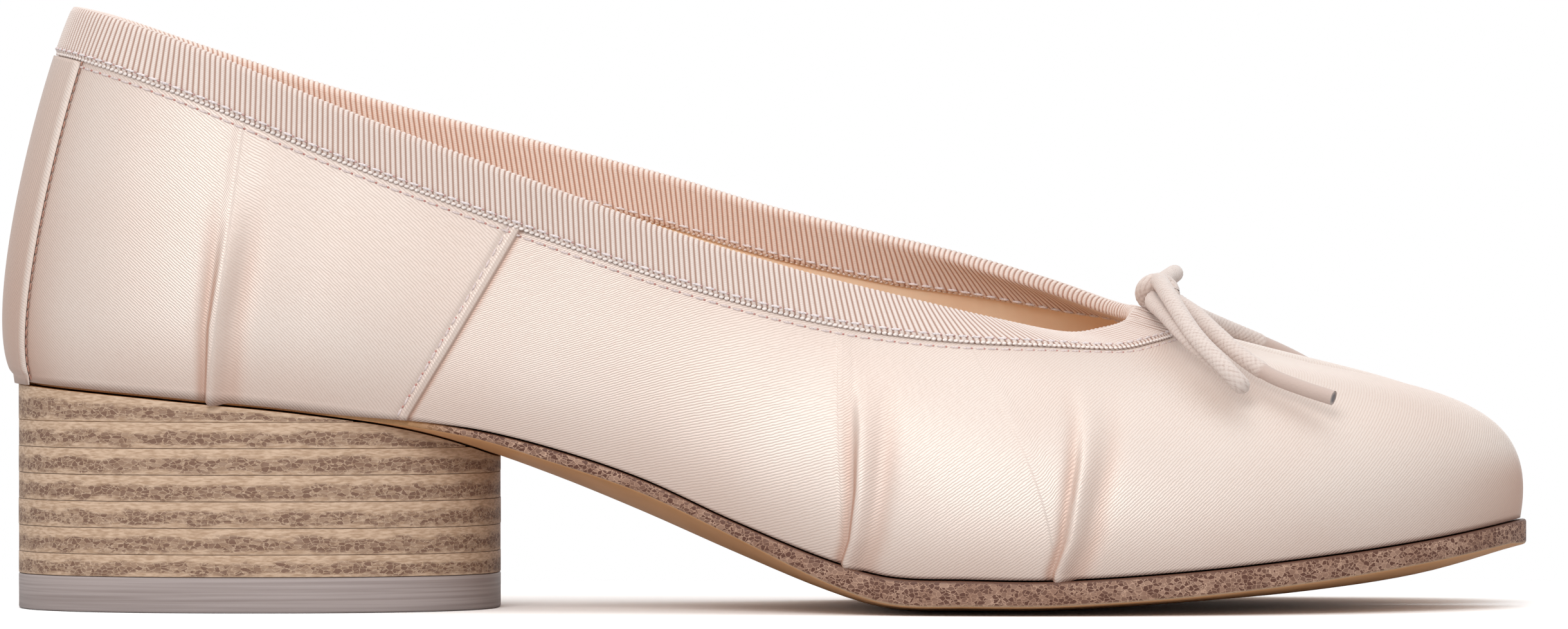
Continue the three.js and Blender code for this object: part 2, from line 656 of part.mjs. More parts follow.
addMesh(shoe, "bow_knot", knotGeometry(), COLOURS.cord);
for (const cord of BOW_CORDS) addMesh(shoe, cord.name, cordGeometry(cord.path), COLOURS.cord);

// The origin is on the floor, in the middle of the shoe's length and width.
const box = new THREE.Box3().setFromObject(shoe);
const middle = box.getCenter(new THREE.Vector3());
shoe.position.set(-middle.x, -middle.y, 0);

export default shoe;
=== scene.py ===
# %% [markdown]
# # A split-toe satin pump, dressed for a studio photograph
# The solids of the shoe come in as a fixed frame: a heel of leather lifts, a sole, an insole, a satin upper,
# a ribbon over its edge, a strip at the back and a bow of cord. Each step below makes one of these pieces
# as it looks on the real shoe, at its own place in that frame, and gives it the finish of its material.

# %% Load the frame
import math

import bpy
import numpy as np
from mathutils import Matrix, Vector
from mathutils.geometry import delaunay_2d_cdt


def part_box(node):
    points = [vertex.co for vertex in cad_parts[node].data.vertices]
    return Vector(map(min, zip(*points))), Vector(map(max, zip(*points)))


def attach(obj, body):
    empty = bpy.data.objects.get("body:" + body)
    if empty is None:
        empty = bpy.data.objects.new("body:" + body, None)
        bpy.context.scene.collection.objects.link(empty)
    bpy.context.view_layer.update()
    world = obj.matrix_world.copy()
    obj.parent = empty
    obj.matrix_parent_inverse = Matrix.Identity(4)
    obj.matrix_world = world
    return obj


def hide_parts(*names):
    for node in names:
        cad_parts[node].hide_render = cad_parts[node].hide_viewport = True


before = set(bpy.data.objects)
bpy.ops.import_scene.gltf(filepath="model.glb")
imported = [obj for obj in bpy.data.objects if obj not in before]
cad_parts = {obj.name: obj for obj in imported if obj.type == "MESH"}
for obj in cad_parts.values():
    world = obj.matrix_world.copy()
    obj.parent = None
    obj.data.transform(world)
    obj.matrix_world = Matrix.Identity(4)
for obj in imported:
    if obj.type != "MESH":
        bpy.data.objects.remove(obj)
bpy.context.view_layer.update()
MM = 0.001


# %% [markdown]
# ## The camera
# A product photograph of a shoe is taken from far away with a long lens, so that the outline is almost a
# drawing of the side. The lens follows from the distance and from how much of the shoe the picture spans.

# %% Camera
PICTURE_WIDTH = 0.2574  # metres across the picture, at the middle of the shoe
PICTURE_MIDDLE = Vector((0.0036, 0.0, 0.0479))
CAMERA_DISTANCE = 1.9
CAMERA_HEIGHT = 0.075

camera_data = bpy.data.cameras.new("camera")
camera_data.sensor_width = 36
camera_data.lens = camera_data.sensor_width * CAMERA_DISTANCE / PICTURE_WIDTH
camera = bpy.data.objects.new("camera", camera_data)
camera.location = (PICTURE_MIDDLE.x, -CAMERA_DISTANCE, CAMERA_HEIGHT)
camera.rotation_euler = (PICTURE_MIDDLE - camera.location).to_track_quat("-Z", "Y").to_euler()
bpy.context.scene.collection.objects.link(camera)
bpy.context.scene.camera = camera
print("lens:", round(camera_data.lens), "mm")

# %% [markdown]
# ## Sizes and tables
# The upper and the sole follow the same two tables as the solids do. A row of the first is a section across
# the sole; a row of the second is a line up the wall of the upper, from the sole to the topline. Reading
# the tables again, instead of copying a mesh, lets each visible piece be as fine as its detail needs.

# %% Sizes in millimetres
SHOE_LENGTH = 250
BALL_WIDTH = 83
SEAT_HEIGHT = 38.4
TOPLINE_HEIGHT = 97.6
WALL = 1.8
SEAM_STEP = 0.6
JOINT_GAP = 0.3
SPLIT_SHOULDER = 3
GROOVE_END = 0.76
WEB_SHARE = 0.55
WEB_FADE = 9
GROOVE_FADE = 2
RIBBON_WIDTH = 7.8
HEEL_CENTRE = 42.1

SOLE_COLUMNS = ("at", "along", "top", "edge", "crown", "ledge")
SOLE_SECTIONS = [
    ("back", 0.0, 1.0, 1.2, 0.0, -0.6),
    ("seat", 0.122, 0.926, 1.2, 0.0, -0.6),
    ("seat_front", 0.204, 0.872, 1.2, 0.0, -0.6),
    ("breast", 0.306, 0.777, 1.3, 2.0, -0.3),
    ("shank_rear", 0.36, 0.694, 2.1, 2.6, 0.0),
    ("shank", 0.42, 0.564, 2.2, 3.6, 0.2),
    ("shank_front", 0.48, 0.387, 2.4, 3.2, 0.4),
    ("tread_rear", 0.54, 0.229, 3.7, 2.0, 0.8),
    ("joint", 0.58, 0.158, 4.3, 1.5, 1.0),
    ("tread", 0.63, 0.146, 4.2, 1.6, 1.0),
    ("tread_front", 0.69, 0.144, 4.0, 1.7, 1.0),
    ("toe_root", 0.776, 0.181, 4.0, 1.8, 1.0),
    ("toes", 0.857, 0.237, 3.9, 2.4, 1.0),
    ("toe_end", 0.93, 0.301, 3.6, 2.5, 1.0),
    ("tip", 1.0, 0.38, 3.4, 1.0, 1.0),
]
UPPER_COLUMNS = ("at", "along", "across", "top_along", "top_across", "top_height",
                 "low_out", "low_up", "high_out", "high_down")
UPPER_ROWS = [
    ("back", 0.011, 0.000, 0.050, 0.000, 1.000, 5.6, 9.0, 4.8, 10.0),
    ("heel_round_outer", 0.038, -0.229, 0.074, -0.171, 0.984, 4.4, 10.0, 4.0, 12.0),
    ("heel_side_outer", 0.114, -0.337, 0.139, -0.274, 0.924, 3.2, 13.0, 2.5, 14.0),
    ("seat_outer", 0.192, -0.349, 0.237, -0.305, 0.819, 2.5, 14.0, 1.5, 15.0),
    ("side_seam_outer", 0.269, -0.346, 0.357, -0.323, 0.704, 2.5, 12.0, 1.5, 13.0),
    ("waist_outer", 0.388, -0.356, 0.449, -0.323, 0.620, 3.0, 12.0, 3.0, 12.0),
    ("joint_rear_outer", 0.506, -0.415, 0.522, -0.311, 0.563, 3.5, 14.0, 5.0, 11.0),
    ("ball_outer", 0.620, -0.488, 0.592, -0.280, 0.517, 3.5, 16.0, 9.0, 9.0),
    ("toe_root_outer", 0.735, -0.491, 0.649, -0.226, 0.482, 3.2, 18.0, 15.0, 7.0),
    ("little_toe", 0.845, -0.427, 0.696, -0.146, 0.458, 3.2, 20.0, 24.0, 6.0),
    ("toe_corner_outer", 0.939, -0.274, 0.722, -0.091, 0.465, 4.0, 23.5, 35.0, 8.0),
    ("toe_tip", 0.993, -0.073, 0.736, -0.039, 0.475, 4.6, 24.5, 41.0, 11.0),
    ("lobe_inside_outer", 0.981, 0.044, 0.740, -0.002, 0.484, 3.0, 24.0, 40.0, 10.0),
    ("split_wall_outer", 0.933, 0.093, 0.743, 0.029, 0.493, 0.0, 23.0, 30.0, 10.0),
    ("split", 0.861, 0.110, 0.744, 0.061, 0.496, 0.0, 23.0, 14.0, 5.0),
    ("split_wall_inner", 0.933, 0.127, 0.743, 0.093, 0.497, 0.0, 23.0, 30.0, 10.0),
    ("lobe_inside_inner", 0.978, 0.178, 0.741, 0.124, 0.499, 2.5, 23.0, 40.0, 12.0),
    ("big_toe_tip", 0.988, 0.280, 0.736, 0.161, 0.501, 4.4, 24.0, 41.0, 13.0),
    ("big_toe_corner", 0.953, 0.415, 0.722, 0.222, 0.512, 3.6, 23.0, 34.0, 12.0),
    ("big_toe_side", 0.857, 0.482, 0.686, 0.274, 0.545, 3.2, 22.0, 22.0, 9.0),
    ("ball_inner", 0.743, 0.476, 0.633, 0.311, 0.585, 3.2, 20.0, 12.0, 9.0),
    ("joint_rear_inner", 0.620, 0.409, 0.576, 0.323, 0.621, 4.0, 18.0, 7.0, 12.0),
    ("arch_front", 0.498, 0.299, 0.498, 0.317, 0.671, 6.0, 17.0, 4.0, 14.0),
    ("arch", 0.388, 0.262, 0.433, 0.311, 0.721, 6.0, 15.0, 3.0, 14.0),
    ("side_seam_inner", 0.278, 0.305, 0.351, 0.311, 0.776, 4.0, 14.0, 2.0, 14.0),
    ("seat_inner", 0.192, 0.341, 0.237, 0.299, 0.851, 2.8, 14.0, 1.5, 16.0),
    ("heel_side_inner", 0.114, 0.337, 0.139, 0.274, 0.929, 3.2, 13.0, 2.5, 14.0),
    ("heel_round_inner", 0.038, 0.229, 0.074, 0.171, 0.985, 4.4, 10.0, 4.0, 12.0),
]
SOLE = {name: np.array(column) for name, column in zip(SOLE_COLUMNS, zip(*SOLE_SECTIONS))}
UPPER = {name: np.array(column) for name, column in zip(UPPER_COLUMNS, zip(*UPPER_ROWS))}
ROW_NUMBER = {name: i for i, name in enumerate(UPPER["at"])}
ROWS = len(UPPER_ROWS)
SPLIT = ROW_NUMBER["split"]
OUTER_SEAM = ROW_NUMBER["side_seam_outer"]
INNER_SEAM = ROW_NUMBER["side_seam_inner"]
low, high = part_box("heel_top_piece")
FRAME_SHIFT = np.array([(low.x + high.x) / 2 / MM - HEEL_CENTRE, (low.y + high.y) / 2 / MM, 0])
print("shift from the back of the shoe to the frame:", FRAME_SHIFT.round(3))


# %% Reading the tables
def smoothstep(value, low, high):
    share = np.clip((value - low) / (high - low), 0, 1)
    return share * share * (3 - 2 * share)


def bell(value, middle, width):
    """A smooth hump of height 1."""
    return np.exp(-(((value - middle) / width) ** 2))


def unit(vectors):
    return vectors / np.maximum(np.linalg.norm(vectors, axis=-1, keepdims=True), 1e-9)


def run_along(points):
    """Length of a line from its start to each of its points."""
    return np.concatenate([[0], np.cumsum(np.linalg.norm(np.diff(points, axis=0), axis=1))])


def joined(x, y, z):
    return np.stack(np.broadcast_arrays(x, y, z), axis=-1).astype(float)


def through_four(a, b, c, d, t):
    """Cubic through four neighbouring values, from the second to the third."""
    return b + 0.5 * t * (c - a + t * (2 * a - 5 * b + 4 * c - d + t * (3 * (b - c) + d - a)))


def upper_column(name, place):
    first = np.floor(place).astype(int)
    a, b, c, d = (UPPER[name][(first + step) % ROWS] for step in (-1, 0, 1, 2))
    return through_four(a, b, c, d, place - first)


def sole_column(name, x):
    column, along = SOLE[name], SOLE["along"]
    number = np.arange(len(along))
    before, after = np.maximum(number - 1, 0), np.minimum(number + 1, len(along) - 1)
    slope = (column[after] - column[before]) / (along[after] - along[before])
    share = np.clip(np.asarray(x) / SHOE_LENGTH, 0, 1)
    i = np.searchsorted(along[1:-1], share)
    span = along[i + 1] - along[i]
    t = (share - along[i]) / span
    rise = column[i + 1] - column[i]
    start, end = slope[i] * span, slope[i + 1] * span
    return column[i] + t * (start + t * (3 * rise - 2 * start - end + t * (start + end - 2 * rise)))


def sole_top(x):
    return SEAT_HEIGHT * sole_column("top", x)


# %% The face of the upper
def split_depth(x):
    web = UPPER["along"][SPLIT]
    share = np.clip((x / SHOE_LENGTH - GROOVE_END) / (web - GROOVE_END), 0, 1)
    return WEB_SHARE * share**WEB_FADE + (1 - WEB_SHARE) * share**GROOVE_FADE


def lobe_rise(place):
    inside = np.maximum(0, 1 - np.abs(place - SPLIT) / SPLIT_SHOULDER)
    return np.sqrt(1 - inside * inside)


def upper_point(place, v):
    """A point of the wall: place runs round the shoe in rows, v from the sole to the topline."""
    place, v = np.broadcast_arrays(np.asarray(place, float), np.asarray(v, float))
    read = {name: upper_column(name, place) for name in UPPER_COLUMNS[1:]}
    foot = joined(SHOE_LENGTH * read["along"], BALL_WIDTH * read["across"], 0)
    foot[..., 2] = sole_top(foot[..., 0]) + JOINT_GAP
    top = joined(SHOE_LENGTH * read["top_along"], BALL_WIDTH * read["top_across"],
                 TOPLINE_HEIGHT * read["top_height"])
    step = 0.05
    ahead = {name: upper_column(name, place + step) - upper_column(name, place - step)
             for name in ("along", "across")}
    square = unit(joined(BALL_WIDTH * ahead["across"], -SHOE_LENGTH * ahead["along"], 0))
    spoke = unit((foot - top) * (1, 1, 0))
    reach = smoothstep(read["along"], 0.62, 0.85)[..., None]
    out = unit(square + (spoke - square) * reach)
    low = foot + out * read["low_out"][..., None] + joined(0, 0, read["low_up"])
    high = top + out * read["high_out"][..., None] - joined(0, 0, read["high_down"])
    side = square[..., 1] ** 2 * (1 - smoothstep(read["along"], 0.4, 0.6))
    lean = side * (top[..., 0] - foot[..., 0]) / 3
    low[..., 0] += lean
    high[..., 0] -= lean
    v = v[..., None]
    w = 1 - v
    point = w**3 * foot + 3 * w * w * v * low + 3 * w * v * v * high + v**3 * top
    floor = sole_top(point[..., 0]) + JOINT_GAP
    dip = split_depth(point[..., 0]) * (1 - lobe_rise(place))
    point[..., 2] = floor + (point[..., 2] - floor) * (1 - dip)
    return point


def upper_slopes(place, v, step=0.01):
    """How the face runs round the shoe and up the wall, per row and per unit of v."""
    below, above = np.maximum(v - step, 0), np.minimum(v + step, 1)
    across = (upper_point(place + step, v) - upper_point(place - step, v)) / (2 * step)
    upwards = (upper_point(place, above) - upper_point(place, below)) / (above - below)[..., None]
    return across, upwards


def upper_normal(place, v):
    place, v = np.broadcast_arrays(np.asarray(place, float), np.asarray(v, float))
    across, upwards = upper_slopes(place, v)
    return unit(np.cross(across, upwards))


top_of_back = upper_point(0.0, 1.0)
print("back of the topline:", top_of_back.round(2), "mm")


# %% [markdown]
# ## Small helpers for meshes
# Every piece is made in millimetres from the back of the shoe and written into its mesh in metres of the
# frame, so that its object stays at the origin. Values that a material needs, such as the place on the
# cloth, are stored as attributes of the points.

# %% Mesh helpers
def piece_from(name, points, faces, materials, numbers=None):
    mesh = bpy.data.meshes.new(name)
    mesh.from_pydata(((points + FRAME_SHIFT) * MM).tolist(), [], faces)
    for material in materials:
        mesh.materials.append(material)
    if numbers is not None:
        mesh.polygons.foreach_set("material_index", np.asarray(numbers, dtype=np.int32))
    mesh.polygons.foreach_set("use_smooth", np.ones(len(mesh.polygons), dtype=bool))
    mesh.update()
    made = bpy.data.objects.new(name, mesh)
    bpy.context.scene.collection.objects.link(made)
    return made


def store(made, name, values):
    values = np.asarray(values, dtype=np.float32)
    kind, field = ("FLOAT", "value") if values.ndim == 1 else ("FLOAT_VECTOR", "vector")
    made.data.attributes.new(name, kind, "POINT").data.foreach_set(field, values.ravel())


def ring_faces(count, size):
    """Quads of a ring of sections: count of them round the ring, size points in each."""
    i, k = np.arange(count)[:, None], np.arange(size)[None, :]
    here, there = i * size, ((i + 1) % count) * size
    after = (k + 1) % size
    return np.stack([here + k, there + k, there + after, here + after], -1).reshape(-1, 4)


def settle(made, *nodes, slot):
    """A finished piece rides on the shoe and stands for its solids, which are hidden. The slot is not used.
    """
    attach(made, "root")
    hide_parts(*nodes)
    sides = sum(len(face.vertices) - 2 for face in made.data.polygons)
    print(made.name, "stands for", ", ".join(nodes), "with", sides, "triangles")


# %% [markdown]
# ## Finishes
# The materials are built from nodes. Three effects come back in several of them, so each is a group that is
# made once: thread lines for the woven pieces, a slow change of tone for everything, and the crackled stain
# of the leather edges. A group only hands out values that change over the surface.

# %% Node helpers
def add(tree, kind, inputs=None, **settings):
    made = tree.nodes.new(kind)
    for name, value in settings.items():
        setattr(made, name, value)
    for name, value in (inputs or {}).items():
        if isinstance(value, bpy.types.NodeSocket):
            tree.links.new(value, made.inputs[name])
        else:
            made.inputs[name].default_value = value
    return made


def math_node(tree, operation, first, second=0.0):
    return add(tree, "ShaderNodeMath", {0: first, 1: second}, operation=operation).outputs[0]


def times(tree, first, second):
    return math_node(tree, "MULTIPLY", first, second)


def plus(tree, first, second):
    return math_node(tree, "ADD", first, second)


def minus(tree, first, second):
    return math_node(tree, "SUBTRACT", first, second)


def size_of(tree, value):
    return math_node(tree, "ABSOLUTE", value)


def noise(tree, place, scale, detail, **inputs):
    inputs.update(Vector=place, Scale=scale, Detail=detail)
    return add(tree, "ShaderNodeTexNoise", inputs).outputs


def new_group(name, inputs, outputs):
    tree = bpy.data.node_groups.new(name, "ShaderNodeTree")
    for socket, kind, value in inputs:
        made = tree.interface.new_socket(name=socket, in_out="INPUT", socket_type=kind)
        if value is not None:
            made.default_value = value
    for socket in outputs:
        tree.interface.new_socket(name=socket, in_out="OUTPUT", socket_type="NodeSocketFloat")
    return tree, tree.nodes.new("NodeGroupInput").outputs, tree.nodes.new("NodeGroupOutput").inputs


def mix_colours(tree, share, first, second):
    made = add(tree, "ShaderNodeMix", {"Factor": share}, data_type="RGBA")
    for socket, value in ((made.inputs[6], first), (made.inputs[7], second)):
        if isinstance(value, bpy.types.NodeSocket):
            tree.links.new(value, socket)
        else:
            socket.default_value = (*value, 1)
    return made.outputs[2]


def ramp(tree, value, low, high, to_low=0.0, to_high=1.0):
    inputs = {"Value": value, "From Min": low, "From Max": high, "To Min": to_low, "To Max": to_high}
    return add(tree, "ShaderNodeMapRange", inputs, interpolation_type="SMOOTHSTEP").outputs[0]


# %% Effect: thread lines
FLOAT, VECTOR = "NodeSocketFloat", "NodeSocketVector"


def make_thread_lines():
    tree, given, result = new_group(
        "thread lines",
        [("Vector", VECTOR, None), ("Pitch", FLOAT, 0.0003), ("Slant", FLOAT, 0.6),
         ("Unevenness", FLOAT, 0.6)],
        ["Height"],
    )
    wander = noise(tree, given["Vector"], 900.0, 2.0)[0]
    parts = add(tree, "ShaderNodeSeparateXYZ", {"Vector": given["Vector"]}).outputs
    across = plus(tree, parts["Y"], times(tree, parts["X"], given["Slant"]))
    uneven = times(tree, wander, given["Unevenness"])
    turns = plus(tree, math_node(tree, "DIVIDE", across, given["Pitch"]), uneven)
    wave = size_of(tree, math_node(tree, "SINE", times(tree, turns, math.pi)))
    tree.links.new(plus(tree, wave, uneven), result["Height"])
    return tree


# %% Effect: slow change of tone
def make_slow_tone():
    tree, given, result = new_group(
        "slow tone", [("Vector", VECTOR, None), ("Size", FLOAT, 0.02), ("Detail", FLOAT, 3.0)], ["Tone"])
    scale = math_node(tree, "DIVIDE", 1.0, given["Size"])
    cloud = noise(tree, given["Vector"], scale, given["Detail"])[0]
    tree.links.new(ramp(tree, cloud, 0.3, 0.7), result["Tone"])
    return tree


# %% Effect: crackled stain
def make_crackled_stain():
    tree, given, result = new_group(
        "crackled stain",
        [("Vector", VECTOR, None), ("Size", FLOAT, 0.001), ("Cover", FLOAT, 0.5)],
        ["Stain"],
    )
    scale = math_node(tree, "DIVIDE", 1.0, given["Size"])
    bend = noise(tree, given["Vector"], scale, 3.0)["Color"]
    shift = {0: bend, "Scale": given["Size"]}
    shifted = add(tree, "ShaderNodeVectorMath", shift, operation="SCALE").outputs[0]
    moved = add(tree, "ShaderNodeVectorMath", {0: given["Vector"], 1: shifted}, operation="ADD").outputs[0]
    cells = {"Vector": moved, "Scale": scale}
    border = add(tree, "ShaderNodeTexVoronoi", cells, feature="DISTANCE_TO_EDGE").outputs["Distance"]
    chance = add(tree, "ShaderNodeTexVoronoi", cells, feature="F1").outputs["Color"]
    chance = add(tree, "ShaderNodeSeparateColor", {"Color": chance}).outputs[0]
    worn = noise(tree, given["Vector"], scale, 5.0, Roughness=0.7)[0]
    patch = ramp(tree, plus(tree, worn, minus(tree, given["Cover"], 0.5)), 0.42, 0.58)
    stained = times(tree, ramp(tree, border, 0.0, 0.1), patch)
    tree.links.new(times(tree, stained, ramp(tree, chance, 0.0, 0.7, 0.45, 1.0)), result["Stain"])
    return tree


thread_lines, slow_tone, crackled_stain = make_thread_lines(), make_slow_tone(), make_crackled_stain()
print("effects:", thread_lines.name, slow_tone.name, crackled_stain.name, sep=", ")


# %% Starting a material
def new_finish(name, roughness, **constants):
    material = bpy.data.materials.new(name)
    material.use_nodes = True
    shader = material.node_tree.nodes["Principled BSDF"]
    shader.inputs["Roughness"].default_value = roughness
    for socket, value in constants.items():
        shader.inputs[socket.replace("_", " ")].default_value = value
    return material, material.node_tree, shader


def use_group(tree, group, **inputs):
    return add(tree, "ShaderNodeGroup", inputs, node_tree=group).outputs


def attribute(tree, name, output="Fac"):
    return add(tree, "ShaderNodeAttribute", attribute_name=name).outputs[output]


def object_place(tree, scale=(1, 1, 1)):
    place = add(tree, "ShaderNodeTexCoord").outputs["Object"]
    return add(tree, "ShaderNodeMapping", {"Vector": place, "Scale": scale}).outputs[0]


def colour(tree, shader, socket):
    tree.links.new(socket, shader.inputs["Base Color"])


def bump(tree, shader, height, strength, distance):
    made = add(tree, "ShaderNodeBump", {"Height": height, "Strength": strength, "Distance": distance})
    tree.links.new(made.outputs[0], shader.inputs["Normal"])


# %% [markdown]
# ### Satin
# Satin is woven so that long threads float on its face, which gives a soft broad gloss and a very fine
# slanting line. The gloss comes from a middling roughness with a metallic share, which tints it like the
# cloth, the line from the thread effect on the place on the cloth. Where it is seen aslant and does not face
# up, the cloth is painted pinker and darker as painted shade, and it is painted darker in its creases too.

# %% Satin and lining
def satin_finish(name, slant):
    material, tree, shader = new_finish(name, 0.46, Metallic=0.27, Sheen_Weight=0.15, Sheen_Roughness=0.3)
    cloth = attribute(tree, "weave", "Vector")
    lines = use_group(tree, thread_lines, Vector=cloth, Pitch=0.00049, Slant=slant, Unevenness=0.8)["Height"]
    tone = use_group(tree, slow_tone, Vector=object_place(tree), Size=0.04, Detail=2.0)["Tone"]
    base = mix_colours(tree, tone, (0.75, 0.62, 0.55), (0.79, 0.685, 0.62))
    # painted shade: the satin is painted pinker and darker where it is seen aslant and does not face up
    aslant_painted_shade = ramp(tree, add(tree, "ShaderNodeLayerWeight", {"Blend": 0.5}).outputs["Facing"], 0.1, 0.7)
    upright = ramp(tree, attribute(tree, "upward"), 0.05, 0.5, 1.0, 0.0)
    base = mix_colours(tree, times(tree, aslant_painted_shade, upright), base, (0.63, 0.43, 0.345))
    base = mix_colours(tree, ramp(tree, lines, 0.25, 1.25, 0.35, 0.0), base, (0.58, 0.40, 0.315))
    # painted shade: darker and pinker in the creases, along the seam folds and near the sole
    colour(tree, shader, mix_colours(tree, attribute(tree, "painted_crease_shade"), base, (0.53, 0.28, 0.19)))
    bump(tree, shader, lines, 0.45, 0.00008)
    return material


satin = satin_finish("satin", -0.7)
strip_satin = satin_finish("strip_satin", 0.7)

lining, tree, shader = new_finish("lining_leather", 0.6)
tone = use_group(tree, slow_tone, Vector=object_place(tree), Size=0.006, Detail=5.0)["Tone"]
colour(tree, shader, mix_colours(tree, tone, (0.97, 0.71, 0.50), (0.99, 0.77, 0.56)))
bump(tree, shader, tone, 0.15, 0.0002)

# %% [markdown]
# ### Ribbon, cord and thread
# Grosgrain is a ribbon with strong ribs across it. The ribs are in its mesh; the material paints shade into
# the valleys and a highlight on the crests, paints the inside of the ribbon lighter and warmer as painted
# light, and adds the fine warp. The cord is plaited from soft cotton, dull all over, except for its dipped
# tip, and is painted darker where the plait is low, as painted shade.

# %% Ribbon, cord and thread
ribbon_finish, tree, shader = new_finish("grosgrain", 0.6, Sheen_Weight=0.2, Sheen_Roughness=0.5)
cloth = attribute(tree, "weave", "Vector")
lines = use_group(tree, thread_lines, Vector=cloth, Pitch=0.0003, Slant=0.0, Unevenness=0.8)["Height"]
# painted shade in the valleys between the ribs and a painted highlight on their crests
rib = ramp(tree, attribute(tree, "rib"), 0.15, 0.85)
outside = mix_colours(tree, rib, (0.42, 0.25, 0.19), (0.82, 0.705, 0.645))
# painted light: the inside of the ribbon is a lighter, warmer copy of the outside, for the light inside the
# shoe
inside = mix_colours(tree, rib, (0.55, 0.29, 0.20), (0.95, 0.80, 0.72))
shade = mix_colours(tree, attribute(tree, "inside"), outside, inside)
colour(tree, shader, mix_colours(tree, ramp(tree, lines, 0.2, 1.2, 0.35, 0.0), shade, (0.42, 0.26, 0.20)))
bump(tree, shader, lines, 0.3, 0.00008)

cord_finish, tree, shader = new_finish("plaited_cotton", 0.92, Sheen_Weight=0.35, Sheen_Roughness=0.6)
fibre = noise(tree, object_place(tree), 5000.0, 3.0)[0]
# painted shade: the cord is darker where the plait is low between its strands
plait_shade = ramp(tree, attribute(tree, "plait"), 0.1, 0.8)
plait = mix_colours(tree, plait_shade, (0.53, 0.40, 0.345), (0.71, 0.60, 0.545))
plait = mix_colours(tree, ramp(tree, fibre, 0.4, 0.7, 0.0, 0.4), plait, (0.80, 0.71, 0.66))
tip = mix_colours(tree, attribute(tree, "tip"), plait, (0.57, 0.44, 0.385))
colour(tree, shader, mix_colours(tree, attribute(tree, "core"), tip, (0.09, 0.07, 0.08)))
bump(tree, shader, fibre, 0.5, 0.0001)


def thread_finish(name, tone):
    material, tree, shader = new_finish(name, 0.55, Sheen_Weight=0.2)
    twist = noise(tree, object_place(tree), 4000.0, 2.0)[0]
    darker = tuple(0.7 * part for part in tone)
    colour(tree, shader, mix_colours(tree, ramp(tree, twist, 0.3, 0.6), darker, tone))
    return material


# the rose and plum tones colour dots of painted shade where the needle holes are
THREAD_TONES = {
    "pale": (0.79, 0.66, 0.63), "lilac": (0.86, 0.76, 0.75), "hole_shade_rose": (0.60, 0.27, 0.235),
    # the brown tone paints a shadow line along the edges of the back strip
    "selvedge": (0.98, 0.88, 0.83), "edge_shadow_brown": (0.50, 0.25, 0.18), "hole_shade_plum": (0.62, 0.37, 0.34),
}
threads = {name: thread_finish(f"{name}_thread", tone) for name, tone in THREAD_TONES.items()}

# %% [markdown]
# ### Leather and the top piece
# The cut edges of the leather are stained and rubbed. Each heel lift is pale at its joints and crackled
# brown in the middle, and the edge of the sole is darker still. The underside of the sole is smooth tan
# leather. The top piece, which meets the floor, is a grey-mauve rubber with fine streaks round it.

# %% Leather finishes
heel_finish, tree, shader = new_finish("stacked_leather", 0.62, Specular_IOR_Level=0.35)
flat = object_place(tree, (1, 1, 1.7))
flakes = use_group(tree, crackled_stain, Vector=flat, Size=0.0011, Cover=attribute(tree, "cover"))
fine = use_group(tree, crackled_stain, Vector=flat, Size=0.0005, Cover=0.5)
rise = attribute(tree, "rise")
sway = use_group(tree, slow_tone, Vector=object_place(tree, (1, 1, 3)), Size=0.005, Detail=4.0)["Tone"]
swayed = plus(tree, rise, times(tree, minus(tree, sway, 0.5), 0.22))  # the bands waver
band = times(tree, ramp(tree, swayed, 0.02, 0.2), ramp(tree, swayed, 0.52, 0.72, 1.0, 0.0))
stain = math_node(tree, "MAXIMUM", flakes["Stain"], times(tree, fine["Stain"], 0.45))
stain = times(tree, stain, band)
fibre = use_group(tree, slow_tone, Vector=object_place(tree, (1, 1, 5)), Size=0.0014, Detail=5.0)["Tone"]
tan = mix_colours(tree, fibre, (0.46, 0.30, 0.195), (0.69, 0.50, 0.36))
joint = ramp(tree, size_of(tree, minus(tree, rise, 0.5)), 0.475, 0.5)
line = mix_colours(tree, attribute(tree, "shaved"), (0.19, 0.12, 0.085), (0.48, 0.25, 0.105))
tan = mix_colours(tree, times(tree, joint, 0.75), tan, line)
colour(tree, shader, mix_colours(tree, times(tree, stain, 0.9), tan, (0.18, 0.09, 0.06)))
bump(tree, shader, stain, 0.4, -0.00025)

# %% Sole leather
sole_finish, tree, shader = new_finish("sole_leather", 0.5, Specular_IOR_Level=0.35)
place = object_place(tree)
speck = use_group(tree, crackled_stain, Vector=object_place(tree, (1, 1, 1.4)), Size=0.0008, Cover=0.74)
wear = use_group(tree, slow_tone, Vector=place, Size=0.004, Detail=4.0)["Tone"]
rise = attribute(tree, "rise")
fibres = mix_colours(tree, wear, (0.43, 0.25, 0.17), (0.62, 0.40, 0.29))
edge = mix_colours(tree, speck["Stain"], fibres, (0.125, 0.05, 0.032))
edge = mix_colours(tree, ramp(tree, rise, 0.86, 0.98), edge, (0.12, 0.05, 0.03))
edge = mix_colours(tree, ramp(tree, rise, 0.03, 0.12, 0.75, 0.0), edge, (0.60, 0.41, 0.27))
seat = add(tree, "ShaderNodeSeparateXYZ", {"Vector": place}).outputs["X"]
edge = mix_colours(tree, ramp(tree, seat, -0.058, -0.048, 1.0, 0.0), edge, (0.46, 0.25, 0.115))
grain = use_group(tree, slow_tone, Vector=place, Size=0.012, Detail=6.0)["Tone"]
under = mix_colours(tree, grain, (0.67, 0.33, 0.14), (0.76, 0.40, 0.19))
wall = attribute(tree, "wall")
side = math_node(tree, "MAXIMUM", ramp(tree, wall, 0.45, 0.75), ramp(tree, rise, 0.5, 0.8))
colour(tree, shader, mix_colours(tree, side, under, edge))
bump(tree, shader, times(tree, speck["Stain"], wall), 0.35, -0.00018)

